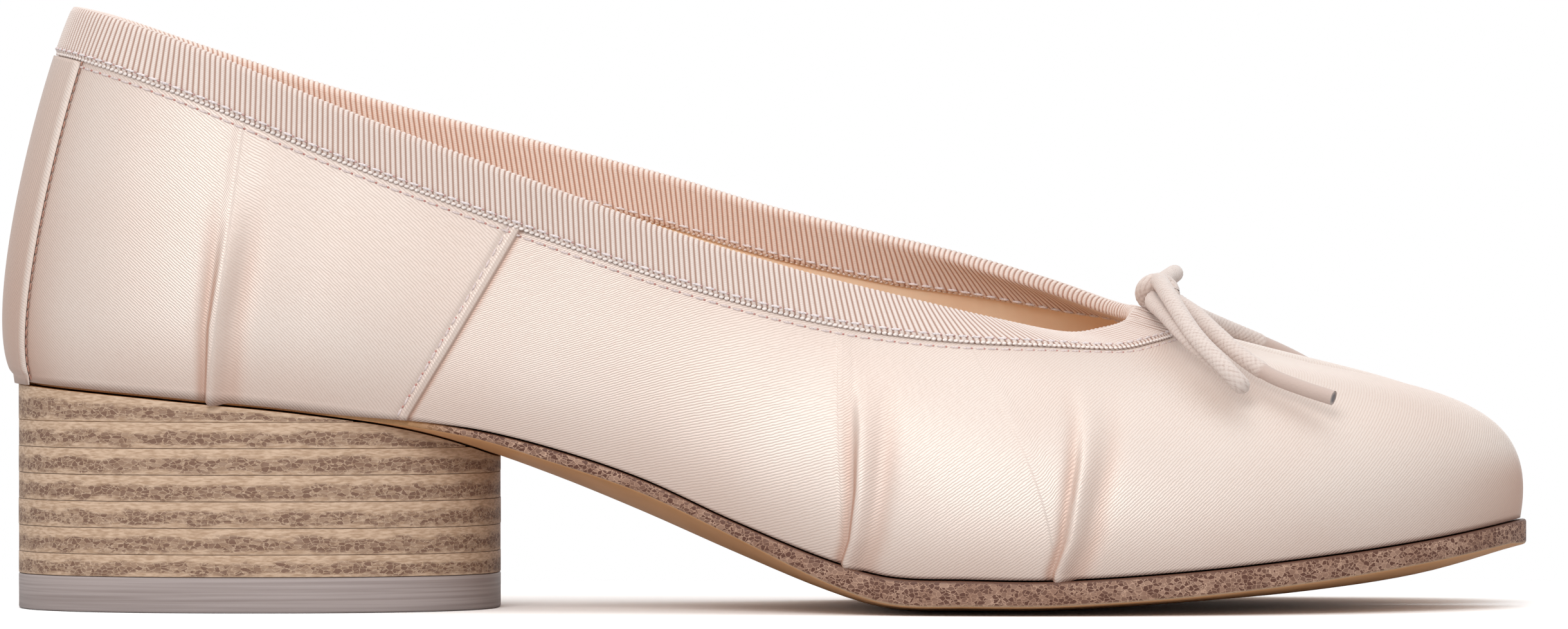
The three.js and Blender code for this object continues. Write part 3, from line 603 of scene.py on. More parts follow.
# %% Insole and top piece
insole_finish, tree, shader = new_finish("insole_leather", 0.55)
grain = use_group(tree, slow_tone, Vector=object_place(tree), Size=0.01, Detail=6.0)["Tone"]
colour(tree, shader, mix_colours(tree, grain, (0.66, 0.42, 0.26), (0.72, 0.48, 0.31)))
bump(tree, shader, grain, 0.1, 0.0002)

top_piece_finish, tree, shader = new_finish("streaked_rubber", 0.55)
streak = noise(tree, object_place(tree, (25, 25, 2200)), 1.0, 4.0)[0]
grey = mix_colours(tree, ramp(tree, streak, 0.3, 0.7), (0.31, 0.25, 0.235), (0.43, 0.36, 0.345))
colour(tree, shader, grey)
bump(tree, shader, streak, 0.2, 0.0001)
print("finishes:", ", ".join(material.name for material in bpy.data.materials))

# %% [markdown]
# ## The bow
# A cotton cord is drawn through the ribbon and tied at the throat: a knot, two loops and two ends with
# dipped tips. Each cord follows a smooth line through a few points and starts inside the knot. A tube along
# that line carries the plait as real relief: two families of strands that go over and under each other, as
# on a flat weave that is wrapped round the tube.

# %% Bow: lines of the cords, in millimetres from the back of the shoe
CORD_RADIUS = 1.45
TIP_RADIUS = 1.25
CORD_SIDES = 36
CORD_STEP = 0.25
STRANDS = 8
STRAND_RISE = 1.05  # along the cord, from one strand to the next
RELIEF = 0.2

BOW_LINES = {
    "bow_end_outer": [
        (191.0, 4.0, 50.5), (192.4, 2.0, 49.9), (195.2, -4.5, 48.2), (198.3, -13.5, 45.2),
        (202.5, -20.8, 41.4), (207.0, -24.6, 38.4), (212.0, -26.6, 36.4), (217.0, -28.8, 34.8),
    ],
    "bow_end_inner": [
        (191.0, 4.8, 50.6), (192.8, 6.6, 49.9), (196.5, 13.0, 47.6), (201.0, 20.5, 45.6),
        (206.0, 26.0, 43.5), (211.5, 29.4, 41.1), (216.5, 32.0, 38.5),
    ],
    "bow_loop_outer": [
        (189.2, 3.4, 50.6), (188.9, 0.4, 49.8), (190.6, -8.0, 48.0), (193.8, -18.4, 44.4),
        (198.2, -24.8, 40.4), (201.6, -28.6, 37.2), (201.8, -30.8, 37.2), (199.2, -29.4, 40.0),
        (194.8, -22.4, 44.9), (191.4, -11.0, 50.4), (189.9, 0.6, 53.2), (189.7, 3.6, 52.6),
    ],
    "bow_loop_inner": [
        (189.7, 5.5, 50.6), (189.8, 8.6, 50.3), (189.4, 14.0, 50.9), (189.2, 20.5, 51.2),
        (189.8, 25.4, 51.6), (191.2, 27.4, 52.7), (192.5, 25.6, 53.8), (193.0, 21.2, 54.4),
        (192.5, 15.5, 54.3), (191.5, 11.5, 53.8), (190.6, 8.2, 53.3), (190.0, 5.5, 52.6),
    ],
}
TIP_LENGTH = {"bow_end_outer": 13.0, "bow_end_inner": 11.0}


# %% Bow: a smooth line and the tube along it
def smooth_line(points, step, closed=False):
    """Points a step apart on a curve through the given ones."""
    points = np.array(points, float)
    if closed:
        points = np.vstack([points[-1], points, points[:2]])
    else:
        points = np.vstack([2 * points[0] - points[1], points, 2 * points[-1] - points[-2]])
    t = np.linspace(0, 1, 40, endpoint=False)[:, None]
    runs = [through_four(*points[i:i + 4], t) for i in range(len(points) - 3)]
    line = np.vstack([*runs, points[-2]])
    gone = run_along(line)
    even = np.linspace(0, gone[-1], max(2, round(gone[-1] / step)) + 1)
    return np.stack([np.interp(even, gone, line[:, axis]) for axis in range(3)], 1), even


def carried_frames(line):
    """Two directions square to the line, carried along it without twist."""
    ahead = unit(np.gradient(line, axis=0))
    side = unit(np.cross(ahead[0], (0.3, 0.2, 1.0)))
    sides = []
    for direction in ahead:
        side = unit(side - direction * np.dot(side, direction))
        sides.append(side)
    sides = np.array(sides)
    return sides, np.cross(ahead, sides)


def plait_height(turn, along):
    """Height of the plait from 0 to 1, with turn round the cord from 0 to 1."""
    a, b = STRANDS * turn + along / STRAND_RISE, STRANDS * turn - along / STRAND_RISE
    across_a, across_b = np.sin(np.pi * (a % 1)), np.sin(np.pi * (b % 1))
    over = (np.floor(a) + np.floor(b)) % 2 == 0
    return np.where(over, across_a**0.5 * (0.5 + 0.5 * across_b), across_b**0.5 * (0.5 + 0.5 * across_a))


def cord_piece(name, line, gone, tip_length=0.0):
    sides, ups = carried_frames(line)
    turn = np.arange(CORD_SIDES) / CORD_SIDES
    height = plait_height(turn[None, :], gone[:, None])
    tip = smoothstep(gone - (gone[-1] - tip_length), -0.5, 0.5) if tip_length else np.zeros(len(gone))
    radius = CORD_RADIUS - RELIEF * (1 - height)
    radius = radius + (TIP_RADIUS - 0.05 * height - radius) * tip[:, None]
    angle = 2 * np.pi * turn
    spokes = np.cos(angle)[None, :, None] * sides[:, None] + np.sin(angle)[None, :, None] * ups[:, None]
    tube = line[:, None] + radius[..., None] * spokes
    ends = [np.vstack([tube[i] * 0.45 + line[i] * 0.55, line[i][None]]) for i in (0, -1)]
    points = np.vstack([tube.reshape(-1, 3), *ends])
    faces = ring_faces(len(line), CORD_SIDES)[: (len(line) - 1) * CORD_SIDES, ::-1].tolist()
    for end, ring in ((0, 0), (1, (len(line) - 1) * CORD_SIDES)):
        start = len(line) * CORD_SIDES + end * (CORD_SIDES + 1)
        for k in range(CORD_SIDES):
            m = (k + 1) % CORD_SIDES
            cap = [[ring + k, ring + m, start + m, start + k], [start + k, start + m, start + CORD_SIDES]]
            faces += [face[::-1] if end else face for face in cap]
    made = piece_from(name, points, faces, [cord_finish])
    extra = np.ones(2 * (CORD_SIDES + 1))
    store(made, "plait", np.concatenate([height.ravel(), 0.5 * extra]))
    store(made, "tip", np.concatenate([np.repeat(tip, CORD_SIDES), (1.0 if tip_length else 0.0) * extra]))
    core = np.concatenate([np.zeros(CORD_SIDES + 1), np.ones(CORD_SIDES + 1)]) * (1.0 if tip_length else 0.0)
    store(made, "core", np.concatenate([np.zeros(height.size), core]))
    return made


bow, bow_lines = {}, {name: smooth_line(points, CORD_STEP) for name, points in BOW_LINES.items()}
for name, (line, gone) in bow_lines.items():
    bow[name] = cord_piece(name.replace("bow", "cord"), line, gone, TIP_LENGTH.get(name, 0.0))
    settle(bow[name], name, slot="cord")

# %% [markdown]
# ### The knot
# The knot is one turn of the same cord round the others. Its line is a ring along the shoe, closed on itself
# and bent a little to either side.

# %% Bow: knot and lengths of the cords
KNOT_MIDDLE = np.array((189.6, 4.5, 51.4))
KNOT_HALF = (2.31, 0.9, 1.89)  # of the turn, at the middle of the cord: along, across and up
turn = np.linspace(0, 2 * math.pi, 8, endpoint=False)
ring_points = KNOT_MIDDLE + KNOT_HALF * np.stack([np.cos(turn), np.sin(2 * turn), np.sin(turn)], 1)
knot = cord_piece("cord_knot", *smooth_line(ring_points, CORD_STEP, closed=True))
settle(knot, "bow_knot", slot="cord")

for name, made in bow.items():
    line, gone = bow_lines[name]
    print(name, round(gone[-1], 1), "mm of cord")

# %% [markdown]
# ## The upper
# The upper is the satin wall of the shoe, open at the foot and at the topline, with a lining inside. Its
# face follows the table, with a step at the side seams, where the quarters lap over the vamp. What the solid
# leaves out is added here: the rolled edge of the seams, and the soft tucks where the satin is gathered
# under the sole. Columns of the mesh stand closer together where the face turns quickly.

# %% Upper: tucks, as side of the shoe and crest points (from the back, above the floor) in millimetres
TUCK_RISE = 0.85
TUCKS = [
    (-1, [(34.7, 35.0), (35.3, 46.1), (36.8, 55.5), (37.8, 62.0), (38.6, 71.0)]),
    (-1, [(137.4, 8.0), (138.8, 12.2), (139.8, 19.9), (140.2, 29.0), (140.1, 41.0)]),
    (-1, [(171.5, 6.6), (173.6, 12.0), (175.9, 24.5), (176.4, 30.0), (175.8, 39.0)]),
    (1, [(35.5, 35.0), (36.2, 46.0), (37.2, 55.0), (38.2, 62.0), (38.8, 70.0)]),
    (1, [(132.6, 9.0), (134.0, 13.0), (135.2, 22.0), (135.8, 31.0), (136.0, 43.0)]),
    (1, [(175.6, 7.0), (177.2, 12.0), (178.8, 23.0), (179.4, 30.0), (179.0, 38.0)]),
]


def tuck_at(tuck, points):
    """Distance ahead of a tuck's crest, share of its height and whether a point is on its side."""
    side, crest = tuck
    ahead, heights = np.transpose(crest)
    x, y, z = points[..., 0], points[..., 1], points[..., 2]
    up = np.clip((z - heights[0]) / (heights[-1] - heights[0]), 0, 1)
    return x - np.interp(z, heights, ahead), up, side * y > 4


def tuck_relief(points):
    """Height and painted shade of the tucks: a steep edge, a trough before it, a falling flap and a valley
    behind.
    """
    height, shade = np.zeros(points.shape[:-1]), np.zeros(points.shape[:-1])
    for tuck in TUCKS:
        off, up, here = tuck_at(tuck, points)
        steep = 0.3 + 1.3 * up**1.3
        edge = smoothstep(off, -steep, 0.25 * steep)
        fall = smoothstep(off, 0.2, 3.2 + 1.2 * up)
        trough = bell(off, -1.1 * steep - 0.4, 0.8 + 0.8 * up)
        valley = bell(off, 4.2 + 0.8 * up, 1.7)
        strength = here * (1 - smoothstep(up, 0.42, 1.0))
        height += TUCK_RISE * strength * (edge * (1 - fall) - 0.4 * trough - 0.3 * valley)
        # painted shade in the trough, in the valley and on the falling flank of each tuck
        flank = smoothstep(off, 0.6, 1.6) * (1 - smoothstep(off, 2.4, 4.0))
        shade += strength * (0.8 * trough + 0.5 * valley + 0.25 * flank)
    return height, shade


def tuck_hook(points):
    """How far the flap of a tuck hangs over the sole at its foot."""
    drop = np.zeros(points.shape[:-1])
    for tuck in TUCKS:
        off, _, here = tuck_at(tuck, points)
        drop += np.where(here, smoothstep(off, -0.25, 0.3) * (1 - smoothstep(off, 0.8, 4.0)), 0)
    return drop


# %% Upper: relief of the seams
SEAM_ROW = 1.75  # from the folded edge to the stitches


def behind_seam(place, v):
    """Distance behind the nearer side seam, in millimetres along the wall."""
    def speed(row):
        across, _ = upper_slopes(np.full(np.shape(v), float(row)), v)
        return np.linalg.norm(across, axis=-1)
    outer = (OUTER_SEAM - place) * speed(OUTER_SEAM)
    inner = (place - INNER_SEAM) * speed(INNER_SEAM)
    return np.where(place < SPLIT, outer, inner)


def seam_relief(place, v):
    behind = behind_seam(place, v)
    lap = SEAM_STEP * smoothstep(behind, -0.12, 0.12)
    roll = 0.12 * bell(behind, 1.0, 0.4)
    groove = 0.2 * bell(behind, SEAM_ROW, 0.45)
    hollow = 0.1 * bell(behind, -0.45, 0.45)
    return lap + roll - groove - hollow


def crease_shade(place, v):
    """Painted shade of the satin, from 0 to 1: along the fold of the seams, in the tucks, and a little all
    along the sole.
    """
    points = upper_point(place, v)
    line = bell(behind_seam(place, v), -0.3, 0.35)
    low = 1 - smoothstep(points[..., 2] - sole_top(points[..., 0]), 0, 13)
    return np.clip(0.55 * line + 0.6 * tuck_relief(points)[1] + 0.2 * low, 0, 0.85)


def tape_seat(place, v):
    """The ribbon bridges the step of the seam."""
    return SEAM_STEP * smoothstep(behind_seam(place, v), -5.0, 4.0)


def satin_face(place, v, lift=0.0):
    """A point of the finished satin face, and lift millimetres above it."""
    place, v = np.broadcast_arrays(np.asarray(place, float), np.asarray(v, float))
    base = upper_point(place, v)
    rise = seam_relief(place, v) + tuck_relief(base)[0] + lift
    return base + upper_normal(place, v) * np.asarray(rise)[..., None]


# %% Upper: mesh
UPPER_ROUND = 930
UPPER_UP = 84
LINING_UP = 18
TUCK_HANG = 0.7
SEAT_HANG = 1.15  # how far the satin hangs over the edge of the sole on the heel
EDGE_WALL = 1.2  # the wall gets thinner towards the topline
WEAVE_ROW = 30  # the row of the mesh that the weave is measured along


def lining_depth(v):
    return WALL + (EDGE_WALL - WALL) * smoothstep(v, 0.5, 0.9)


def seat_hang(x):
    return SEAT_HANG * (1 - smoothstep(x, 52, 80))


def spread_places(count):
    """Places round the shoe, closer together in the split, at the seams and at the tucks."""
    fine = np.linspace(0, ROWS, ROWS * 80 + 1)
    paths = [upper_point(fine, height) for height in (0.03, 0.3, 0.6, 0.95)]
    length = np.max([np.linalg.norm(np.diff(path, axis=0), axis=1) for path in paths], axis=0)
    middle = (fine[1:] + fine[:-1]) / 2
    for seam in (OUTER_SEAM, INNER_SEAM):
        length = length * (1 + 4 * bell(middle, seam, 0.1))
    for tuck in TUCKS:
        near = np.zeros(len(middle))
        for path in paths[:3]:
            off, up, here = tuck_at(tuck, path[:-1])
            crowd = 4.5 * (np.abs(off) < 1.6) + 1.2 * (np.abs(off - 2) < 6)
            near = np.maximum(near, here * (up < 0.9) * crowd)
        length = length * (1 + near)
    gone = np.concatenate([[0], np.cumsum(length)])
    return np.interp(np.linspace(0, gone[-1], count, endpoint=False), gone, fine)


def wall_grid(rows):
    return np.meshgrid(spread_places(UPPER_ROUND), np.linspace(0, 1, rows), indexing="ij")


satin_grid, lining_grid = wall_grid(UPPER_UP), wall_grid(LINING_UP)
outer = satin_face(*satin_grid)
inner = upper_point(*lining_grid) - upper_normal(*lining_grid) * lining_depth(lining_grid[1])[..., None]
for face in (outer, inner):
    face[:, 0, 2] = sole_top(face[:, 0, 0]) + JOINT_GAP
outer[:, 0, 2] -= TUCK_HANG * tuck_hook(outer[:, 0]) + seat_hang(outer[:, 0, 0])

size = UPPER_UP + LINING_UP
sections = np.concatenate([outer, inner[:, ::-1]], axis=1)
lined = np.tile(np.arange(size) >= UPPER_UP - 1, UPPER_ROUND)
faces = ring_faces(UPPER_ROUND, size).tolist()
upper = piece_from("satin_upper", sections.reshape(-1, 3), faces, [satin, lining], lined)
run_round = run_along(outer[:, WEAVE_ROW])
run_up = np.linalg.norm(np.diff(sections, axis=1, prepend=sections[:, :1]), axis=2).cumsum(axis=1)
turned = np.where(behind_seam(*wall_grid(size)) > 0, -1, 1)  # the quarters are cut the other way
store(upper, "weave", (joined(turned * run_round[:, None], run_up, 0) * MM).reshape(-1, 3))
beyond = ((0, 0), (0, LINING_UP))
# painted shade of the creases, for the satin finish
store(upper, "painted_crease_shade", np.pad(crease_shade(*satin_grid), beyond).ravel())
store(upper, "upward", np.pad(upper_normal(*satin_grid)[..., 2], beyond).ravel())
settle(upper, "upper", slot="satin")

# %% [markdown]
# ## The ribbon on the topline
# A grosgrain ribbon is folded over the edge of the upper. It was stretched round the curve of the topline,
# so its ribs lean forward from the square line, most of all beside the bow. The mesh has five columns to
# each rib, and a small node tree raises the ribs along the normal, so that pitch and depth can be changed
# in one place.

# %% Ribbon: lines of the ribs down the wall
RIB_PITCH = 0.9
COLUMNS_PER_RIB = 5
TRACK_STEP = 0.5
TRACK_STEPS = 22
RIB_DEPTH = 0.22
RIB_LEVEL = 0.7  # the share of a rib that lies below the tape's own face
# lean of the ribs in degrees, by row from the back
RIB_LEAN = [(0, 0), (1, 3), (2, 22), (4, 23), (6, 20), (7, 22), (8, 30), (9, 34), (10, 24), (12, 0), (14, 0)]

fine = np.linspace(0, ROWS, ROWS * 60 + 1)
edge = upper_point(fine, 1.0)
gone = run_along(edge)
TOPLINE_LENGTH = gone[-1]
ribs = round(TOPLINE_LENGTH / RIB_PITCH)
tape_run = np.linspace(0, TOPLINE_LENGTH, ribs * COLUMNS_PER_RIB, endpoint=False)
tape_places = np.interp(tape_run, gone, fine)


def rib_lean(place):
    """Slope of the ribs against the square line, by row from the back, alike on both sides of the shoe."""
    rows, degrees = np.transpose(RIB_LEAN)
    outer = place < SPLIT
    slope = np.tan(np.radians(np.interp(np.where(outer, place, ROWS - place), rows, degrees)))
    return np.where(outer, slope, -slope)


def tracks_down(start):
    """Places and heights on the wall, step by step down the ribs from the topline."""
    place, v = start.copy(), np.ones(len(start))
    along = unit(upper_slopes(place, v)[0])
    slope = rib_lean(place)
    found = [(place.copy(), v.copy())]
    for _ in range(TRACK_STEPS):
        across, upwards = upper_slopes(place, v)
        speed = (across * along).sum(-1)
        square = (upwards * along).sum(-1) / speed
        stride = np.linalg.norm(across * square[:, None] - upwards, axis=-1)
        place = place + TRACK_STEP * (square / stride + slope / speed)
        v = v - TRACK_STEP / stride
        found.append((place.copy(), v.copy()))
    return np.array(found)


tracks = tracks_down(tape_places)


def below_topline(distance):
    """Place and height of every column, a distance below the topline."""
    share = distance / TRACK_STEP
    first = min(int(share), TRACK_STEPS - 1)
    return tracks[first] + (tracks[first + 1] - tracks[first]) * (share - first)


print(ribs, "ribs on", round(TOPLINE_LENGTH), "mm of ribbon")

# %% Ribbon: folded tape
TAPE_GAP = 0.12
TAPE_SKIN = 0.55
TAPE_STEPS = (7.1, 6.0, 4.0, 2.0, 0.6)  # below the topline, above the lower edge
FOLD_TURNS = (25, 60, 90, 120, 155)
TAPE_BITE = -0.06  # the lower edge is pressed into the satin
GATHER_ROWS = 2.2  # how far from the throat the ribbon ripples
RIPPLE_PITCH = 4.3
ripple = 0.21 * bell(tape_places, SPLIT, GATHER_ROWS) * np.sin(2 * np.pi * tape_run / RIPPLE_PITCH)


def on_wall(distance, lift, inside=False):
    place, v = below_topline(distance)
    base, normal = upper_point(place, v), upper_normal(place, v)
    wavy = ripple * (1 - smoothstep(distance, 5.0, RIBBON_WIDTH))
    rise = -lining_depth(v) - TAPE_GAP - lift if inside else tape_seat(place, v) + TAPE_GAP + lift + wavy
    return base + normal * np.broadcast_to(rise, place.shape)[:, None]


def over_edge(turn, lift):
    """A point of the fold: turn from 0 on the outside to pi on the inside."""
    place, v = below_topline(0.0)
    normal, upwards = upper_normal(place, v), unit(upper_slopes(place, v)[1])
    outside = tape_seat(place, v) + TAPE_GAP + ripple
    inside = -EDGE_WALL - TAPE_GAP
    middle, half = (outside + inside) / 2, (outside - inside) / 2 + lift
    offset = middle + half * math.cos(turn)
    rise = (TAPE_GAP + lift) * math.sin(turn)
    return upper_point(place, v) + normal * offset[:, None] + upwards * rise


outside = [on_wall(RIBBON_WIDTH, TAPE_BITE), *(on_wall(step, TAPE_SKIN) for step in TAPE_STEPS)]
fold = [over_edge(math.radians(turn), TAPE_SKIN) for turn in FOLD_TURNS]
inside = [on_wall(step, TAPE_SKIN, True) for step in TAPE_STEPS[::-1]]
inside.append(on_wall(RIBBON_WIDTH, 0.5 * TAPE_SKIN, True))
hidden = [on_wall(7.6, 0, True), on_wall(0.4, 0, True), on_wall(0.4, 0), on_wall(7.6, TAPE_BITE)]
sections = np.stack(outside + fold + inside + hidden, axis=1)
shown = np.array([0.3] + [1] * (sections.shape[1] - 6) + [0.3] + [0] * 4)
faces = ring_faces(*sections.shape[:2]).tolist()
tape = piece_from("grosgrain_ribbon", sections.reshape(-1, 3), faces, [ribbon_finish])
tape_across = run_along(sections[0])
store(tape, "weave", (joined(tape_run[:, None], tape_across, 0) * MM).reshape(-1, 3))
store(tape, "shown", np.tile(shown, len(sections)))
turned_in = [*np.zeros(len(outside)), *np.linspace(0, 1, len(fold)), *np.ones(len(inside) + len(hidden))]
store(tape, "inside", np.tile(turned_in, len(sections)))
pitch = TOPLINE_LENGTH / ribs
store(tape, "rib", np.repeat(np.abs(np.sin(np.pi * tape_run / pitch)), sections.shape[1]))


# %% Ribbon: ribs by nodes
def new_node_tree(name, inputs):
    tree = bpy.data.node_groups.new(name, "GeometryNodeTree")
    tree.interface.new_socket(name="Geometry", in_out="INPUT", socket_type="NodeSocketGeometry")
    for socket, kind in inputs:
        tree.interface.new_socket(name=socket, in_out="INPUT", socket_type=kind)
    tree.interface.new_socket(name="Geometry", in_out="OUTPUT", socket_type="NodeSocketGeometry")
    return tree, tree.nodes.new("NodeGroupInput").outputs, tree.nodes.new("NodeGroupOutput").inputs


def apply_tree(made, tree, **values):
    """Runs a node tree on a piece and keeps the result as a plain mesh."""
    modifier = made.modifiers.new(tree.name, "NODES")
    modifier.node_group = tree
    names = {item.name: item.identifier for item in tree.interface.items_tree if item.in_out == "INPUT"}
    for name, value in values.items():
        modifier[names[name]] = value
    evaluated = made.evaluated_get(bpy.context.evaluated_depsgraph_get())
    mesh = bpy.data.meshes.new_from_object(evaluated)
    made.modifiers.remove(modifier)
    made.data = mesh
    return made


MATERIAL = "NodeSocketMaterial"


def named(tree, name, kind):
    return add(tree, "GeometryNodeInputNamedAttribute", {"Name": name}, data_type=kind).outputs[0]


def finish_tree(tree, geometry, finish, result):
    """Plain faces with their material at the end of a tree."""
    plain = add(tree, "GeometryNodeRealizeInstances", {"Geometry": geometry}).outputs[0]
    dressed = add(tree, "GeometryNodeSetMaterial", {"Geometry": plain, "Material": finish}).outputs[0]
    tree.links.new(dressed, result["Geometry"])


rib_tree, given, result = new_node_tree("ribs", [("Pitch", FLOAT), ("Depth", FLOAT), ("Finish", MATERIAL)])
cloth, shown_here = named(rib_tree, "weave", "FLOAT_VECTOR"), named(rib_tree, "shown", "FLOAT")
run = add(rib_tree, "ShaderNodeSeparateXYZ", {0: cloth}).outputs["X"]
turns = math_node(rib_tree, "DIVIDE", run, given["Pitch"])
ridge = size_of(rib_tree, math_node(rib_tree, "SINE", times(rib_tree, turns, math.pi)))
ridge = times(rib_tree, minus(rib_tree, ridge, RIB_LEVEL), given["Depth"])
ridge = times(rib_tree, ridge, shown_here)
normal = add(rib_tree, "GeometryNodeInputNormal").outputs[0]
offset = add(rib_tree, "ShaderNodeVectorMath", {0: normal, "Scale": ridge}, operation="SCALE").outputs[0]
moved = {"Geometry": given["Geometry"], "Offset": offset}
raised = add(rib_tree, "GeometryNodeSetPosition", moved).outputs[0]
finish_tree(rib_tree, raised, given["Finish"], result)

apply_tree(tape, rib_tree, Pitch=pitch * MM, Depth=RIB_DEPTH * MM, Finish=ribbon_finish)
settle(tape, "topline_ribbon", slot="ribbon")

# %% [markdown]
# ## The strip over the back seam
# A satin strip covers the seam at the back of the heel. Its two long edges are folded under, so they
# stand up a little higher than the middle.

# %% Back strip
STRIP_HALF_FOOT = 0.67  # in rows, at the sole and under the ribbon
STRIP_HALF_TOP = 0.82
STRIP_THICKNESS = 0.45
STRIP_TOP_TRACK = 16  # steps below the topline, just under the ribbon
STRIP_CLOTH = (12, 50)  # millimetres of cloth from the middle to an edge and from foot to top
STRIP_ACROSS = 61
STRIP_UP = 90

across_strip = np.linspace(-1, 1, STRIP_ACROSS)
tops = tracks_down(across_strip * STRIP_HALF_TOP)[STRIP_TOP_TRACK]
strip_top = np.interp(across_strip * STRIP_HALF_TOP, tops[0], tops[1])
share_up = np.linspace(0, 1, STRIP_UP)
strip_half = STRIP_HALF_FOOT + (STRIP_HALF_TOP - STRIP_HALF_FOOT) * share_up
place_grid = across_strip[:, None] * strip_half[None, :]
up_strip = strip_top[:, None] * share_up[None, :]
edge_roll = 0.18 * bell(np.abs(across_strip), 0.92, 0.06)
profile = STRIP_THICKNESS * (1 - np.abs(across_strip) ** 24) ** 0.5 + edge_roll * (np.abs(across_strip) < 1)
base, normal = upper_point(place_grid, up_strip), upper_normal(place_grid, up_strip)
seat = SEAM_STEP + JOINT_GAP
foot = 0.35 + 0.65 * smoothstep(share_up, 0.0, 0.05)
outer = base + normal * (seat + profile[:, None] * foot)[..., None]
inner = base + normal * seat
for face in (outer, inner):
    face[:, 0, 2] -= SEAT_HANG
size = STRIP_UP * 2
sections = np.concatenate([outer, inner[:, ::-1]], axis=1)
faces = ring_faces(STRIP_ACROSS, size)[: (STRIP_ACROSS - 1) * size].tolist()
for column, turned in ((0, False), (STRIP_ACROSS - 1, True)):
    start = column * size
    for j in range(STRIP_UP - 1):
        side = [start + j, start + j + 1, start + size - 2 - j, start + size - 1 - j]
        faces.append(side[::-1] if turned else side)
strip = piece_from("satin_back_strip", sections.reshape(-1, 3), faces, [strip_satin])
cloth = joined(across_strip[:, None] * STRIP_CLOTH[0], STRIP_CLOTH[1] * share_up[None, :], 0)
# the strip gets no painted crease shade
store(strip, "painted_crease_shade", np.zeros(len(strip.data.vertices)))
store(strip, "upward", np.concatenate([normal[..., 2]] * 2, axis=1).ravel())
store(strip, "weave", (np.concatenate([cloth, cloth[:, ::-1]], axis=1) * MM).reshape(-1, 3))
settle(strip, "back_strip", slot="satin")

# %% [markdown]
# ## Sole, insole and heel
# These are plates: an outline, a lower and an upper face, and a small rounding at the edge. A plate is cut
# into triangles from its outline, a few rings just inside it and a loose grid in the middle. Each point
# keeps how near it is to the side wall, and how high it lies between the two faces, for the materials.

# %% Plates
def inset(outline, distance):
    ahead = np.roll(outline, -1, 0) - np.roll(outline, 1, 0)
    inwards = unit(np.stack([-ahead[:, 1], ahead[:, 0]], 1))
    return outline + inwards * np.reshape(distance, (-1, 1))


def inside_of(outline, points):
    a, b = outline, np.roll(outline, -1, 0)
    x, y = points[:, :1], points[:, 1:]
    crosses = (a[:, 1] > y) != (b[:, 1] > y)
    rise = np.where(np.abs(b[:, 1] - a[:, 1]) < 1e-9, 1e-9, b[:, 1] - a[:, 1])
    at = a[:, 0] + (y - a[:, 1]) * (b[:, 0] - a[:, 0]) / rise
    return (crosses & (x < at)).sum(1) % 2 == 1


def even_outline(outline, step):
    closed = np.vstack([outline, outline[:1]])
    gone = run_along(closed)
    even = np.linspace(0, gone[-1], round(gone[-1] / step), endpoint=False)
    return np.stack([np.interp(even, gone, closed[:, axis]) for axis in (0, 1)], 1)


def plate(name, outline, lower, upper_face, rounding, grid_step, material):
    """outline runs against the clock seen from above; lower and upper_face give heights at points."""
    shares = (0, 0.15, 0.5, 1.0)
    rings = [inset(outline, rounding * share) for share in shares]
    low, high = outline.min(0), outline.max(0)
    grid = np.stack(np.meshgrid(*(np.arange(low[k], high[k], grid_step) for k in (0, 1))), -1).reshape(-1, 2)
    grid = grid[inside_of(rings[-1], grid)]
    gap = np.min(np.linalg.norm(grid[:, None] - rings[-1][None, ::2], axis=2), axis=1)
    flat = np.vstack([*rings, grid[gap > 0.5 * grid_step]])
    count = len(outline)
    edges = [(k + i, k + (i + 1) % count) for k in (0, 3 * count) for i in range(count)]
    found, _, triangles, *_ = delaunay_2d_cdt([Vector(p) for p in flat], edges, [], 1, 1e-7)
    if len(found) != len(flat):
        raise RuntimeError(f"{name}: the outline crosses itself")
    wall = np.concatenate([np.repeat(1 - np.array(shares), count), np.zeros(len(flat) - 4 * count)])
    bottom, top = lower(flat), upper_face(flat)
    radius = np.minimum(rounding, 0.45 * np.maximum(top - bottom, 0.02))
    drop = radius * (1 - np.sqrt(1 - wall**2))
    points = np.vstack([np.column_stack([flat, bottom + drop]), np.column_stack([flat, top - drop])])
    triangles = np.array(triangles)
    k = np.arange(count)
    after = (k + 1) % count
    sides = np.stack([k, after, len(flat) + after, len(flat) + k], 1)
    faces = triangles[:, ::-1].tolist() + (triangles + len(flat)).tolist() + sides.tolist()
    made = piece_from(name, points, faces, [material])
    share = drop / np.maximum(top - bottom, 0.02)
    store(made, "wall", np.concatenate([wall, wall]))
    store(made, "rise", np.concatenate([share, 1 - share]))
    return made


# %% Sole and insole
INSOLE_THICKNESS = 2


def footprint(ledge):
    """Outline of the upper's foot, moved outwards by ledge(x, place)."""
    fine = spread_places(900)
    foot = upper_point(fine, 0.0)[:, :2]
    return inset(foot, -ledge(foot[:, 0], fine))


def span_across(outline):
    """Lowest and highest y of an outline, by distance from the back."""
    stations = np.linspace(outline[:, 0].min() + 3, outline[:, 0].max() - 3, 300)
    spans = []
    a, b = outline, np.roll(outline, -1, 0)
    for x in stations:
        hit = (a[:, 0] < x) != (b[:, 0] < x)
        y = a[hit, 1] + (b[hit, 1] - a[hit, 1]) * (x - a[hit, 0]) / (b[hit, 0] - a[hit, 0])
        spans.append((y.min(), y.max()))
    return stations, np.array(spans)


def sole_ledge(x, place):
    return sole_column("ledge", x) * smoothstep(np.abs(place - SPLIT), 0.8, 2.2)


def insole_ledge(x, place):
    web_room = 2 * (1 - smoothstep(np.abs(place - SPLIT), 0, 0.8))
    return -(WALL + 2 * JOINT_GAP + web_room)


sole_outline = even_outline(footprint(sole_ledge), 0.8)
stations, spans = span_across(sole_outline)


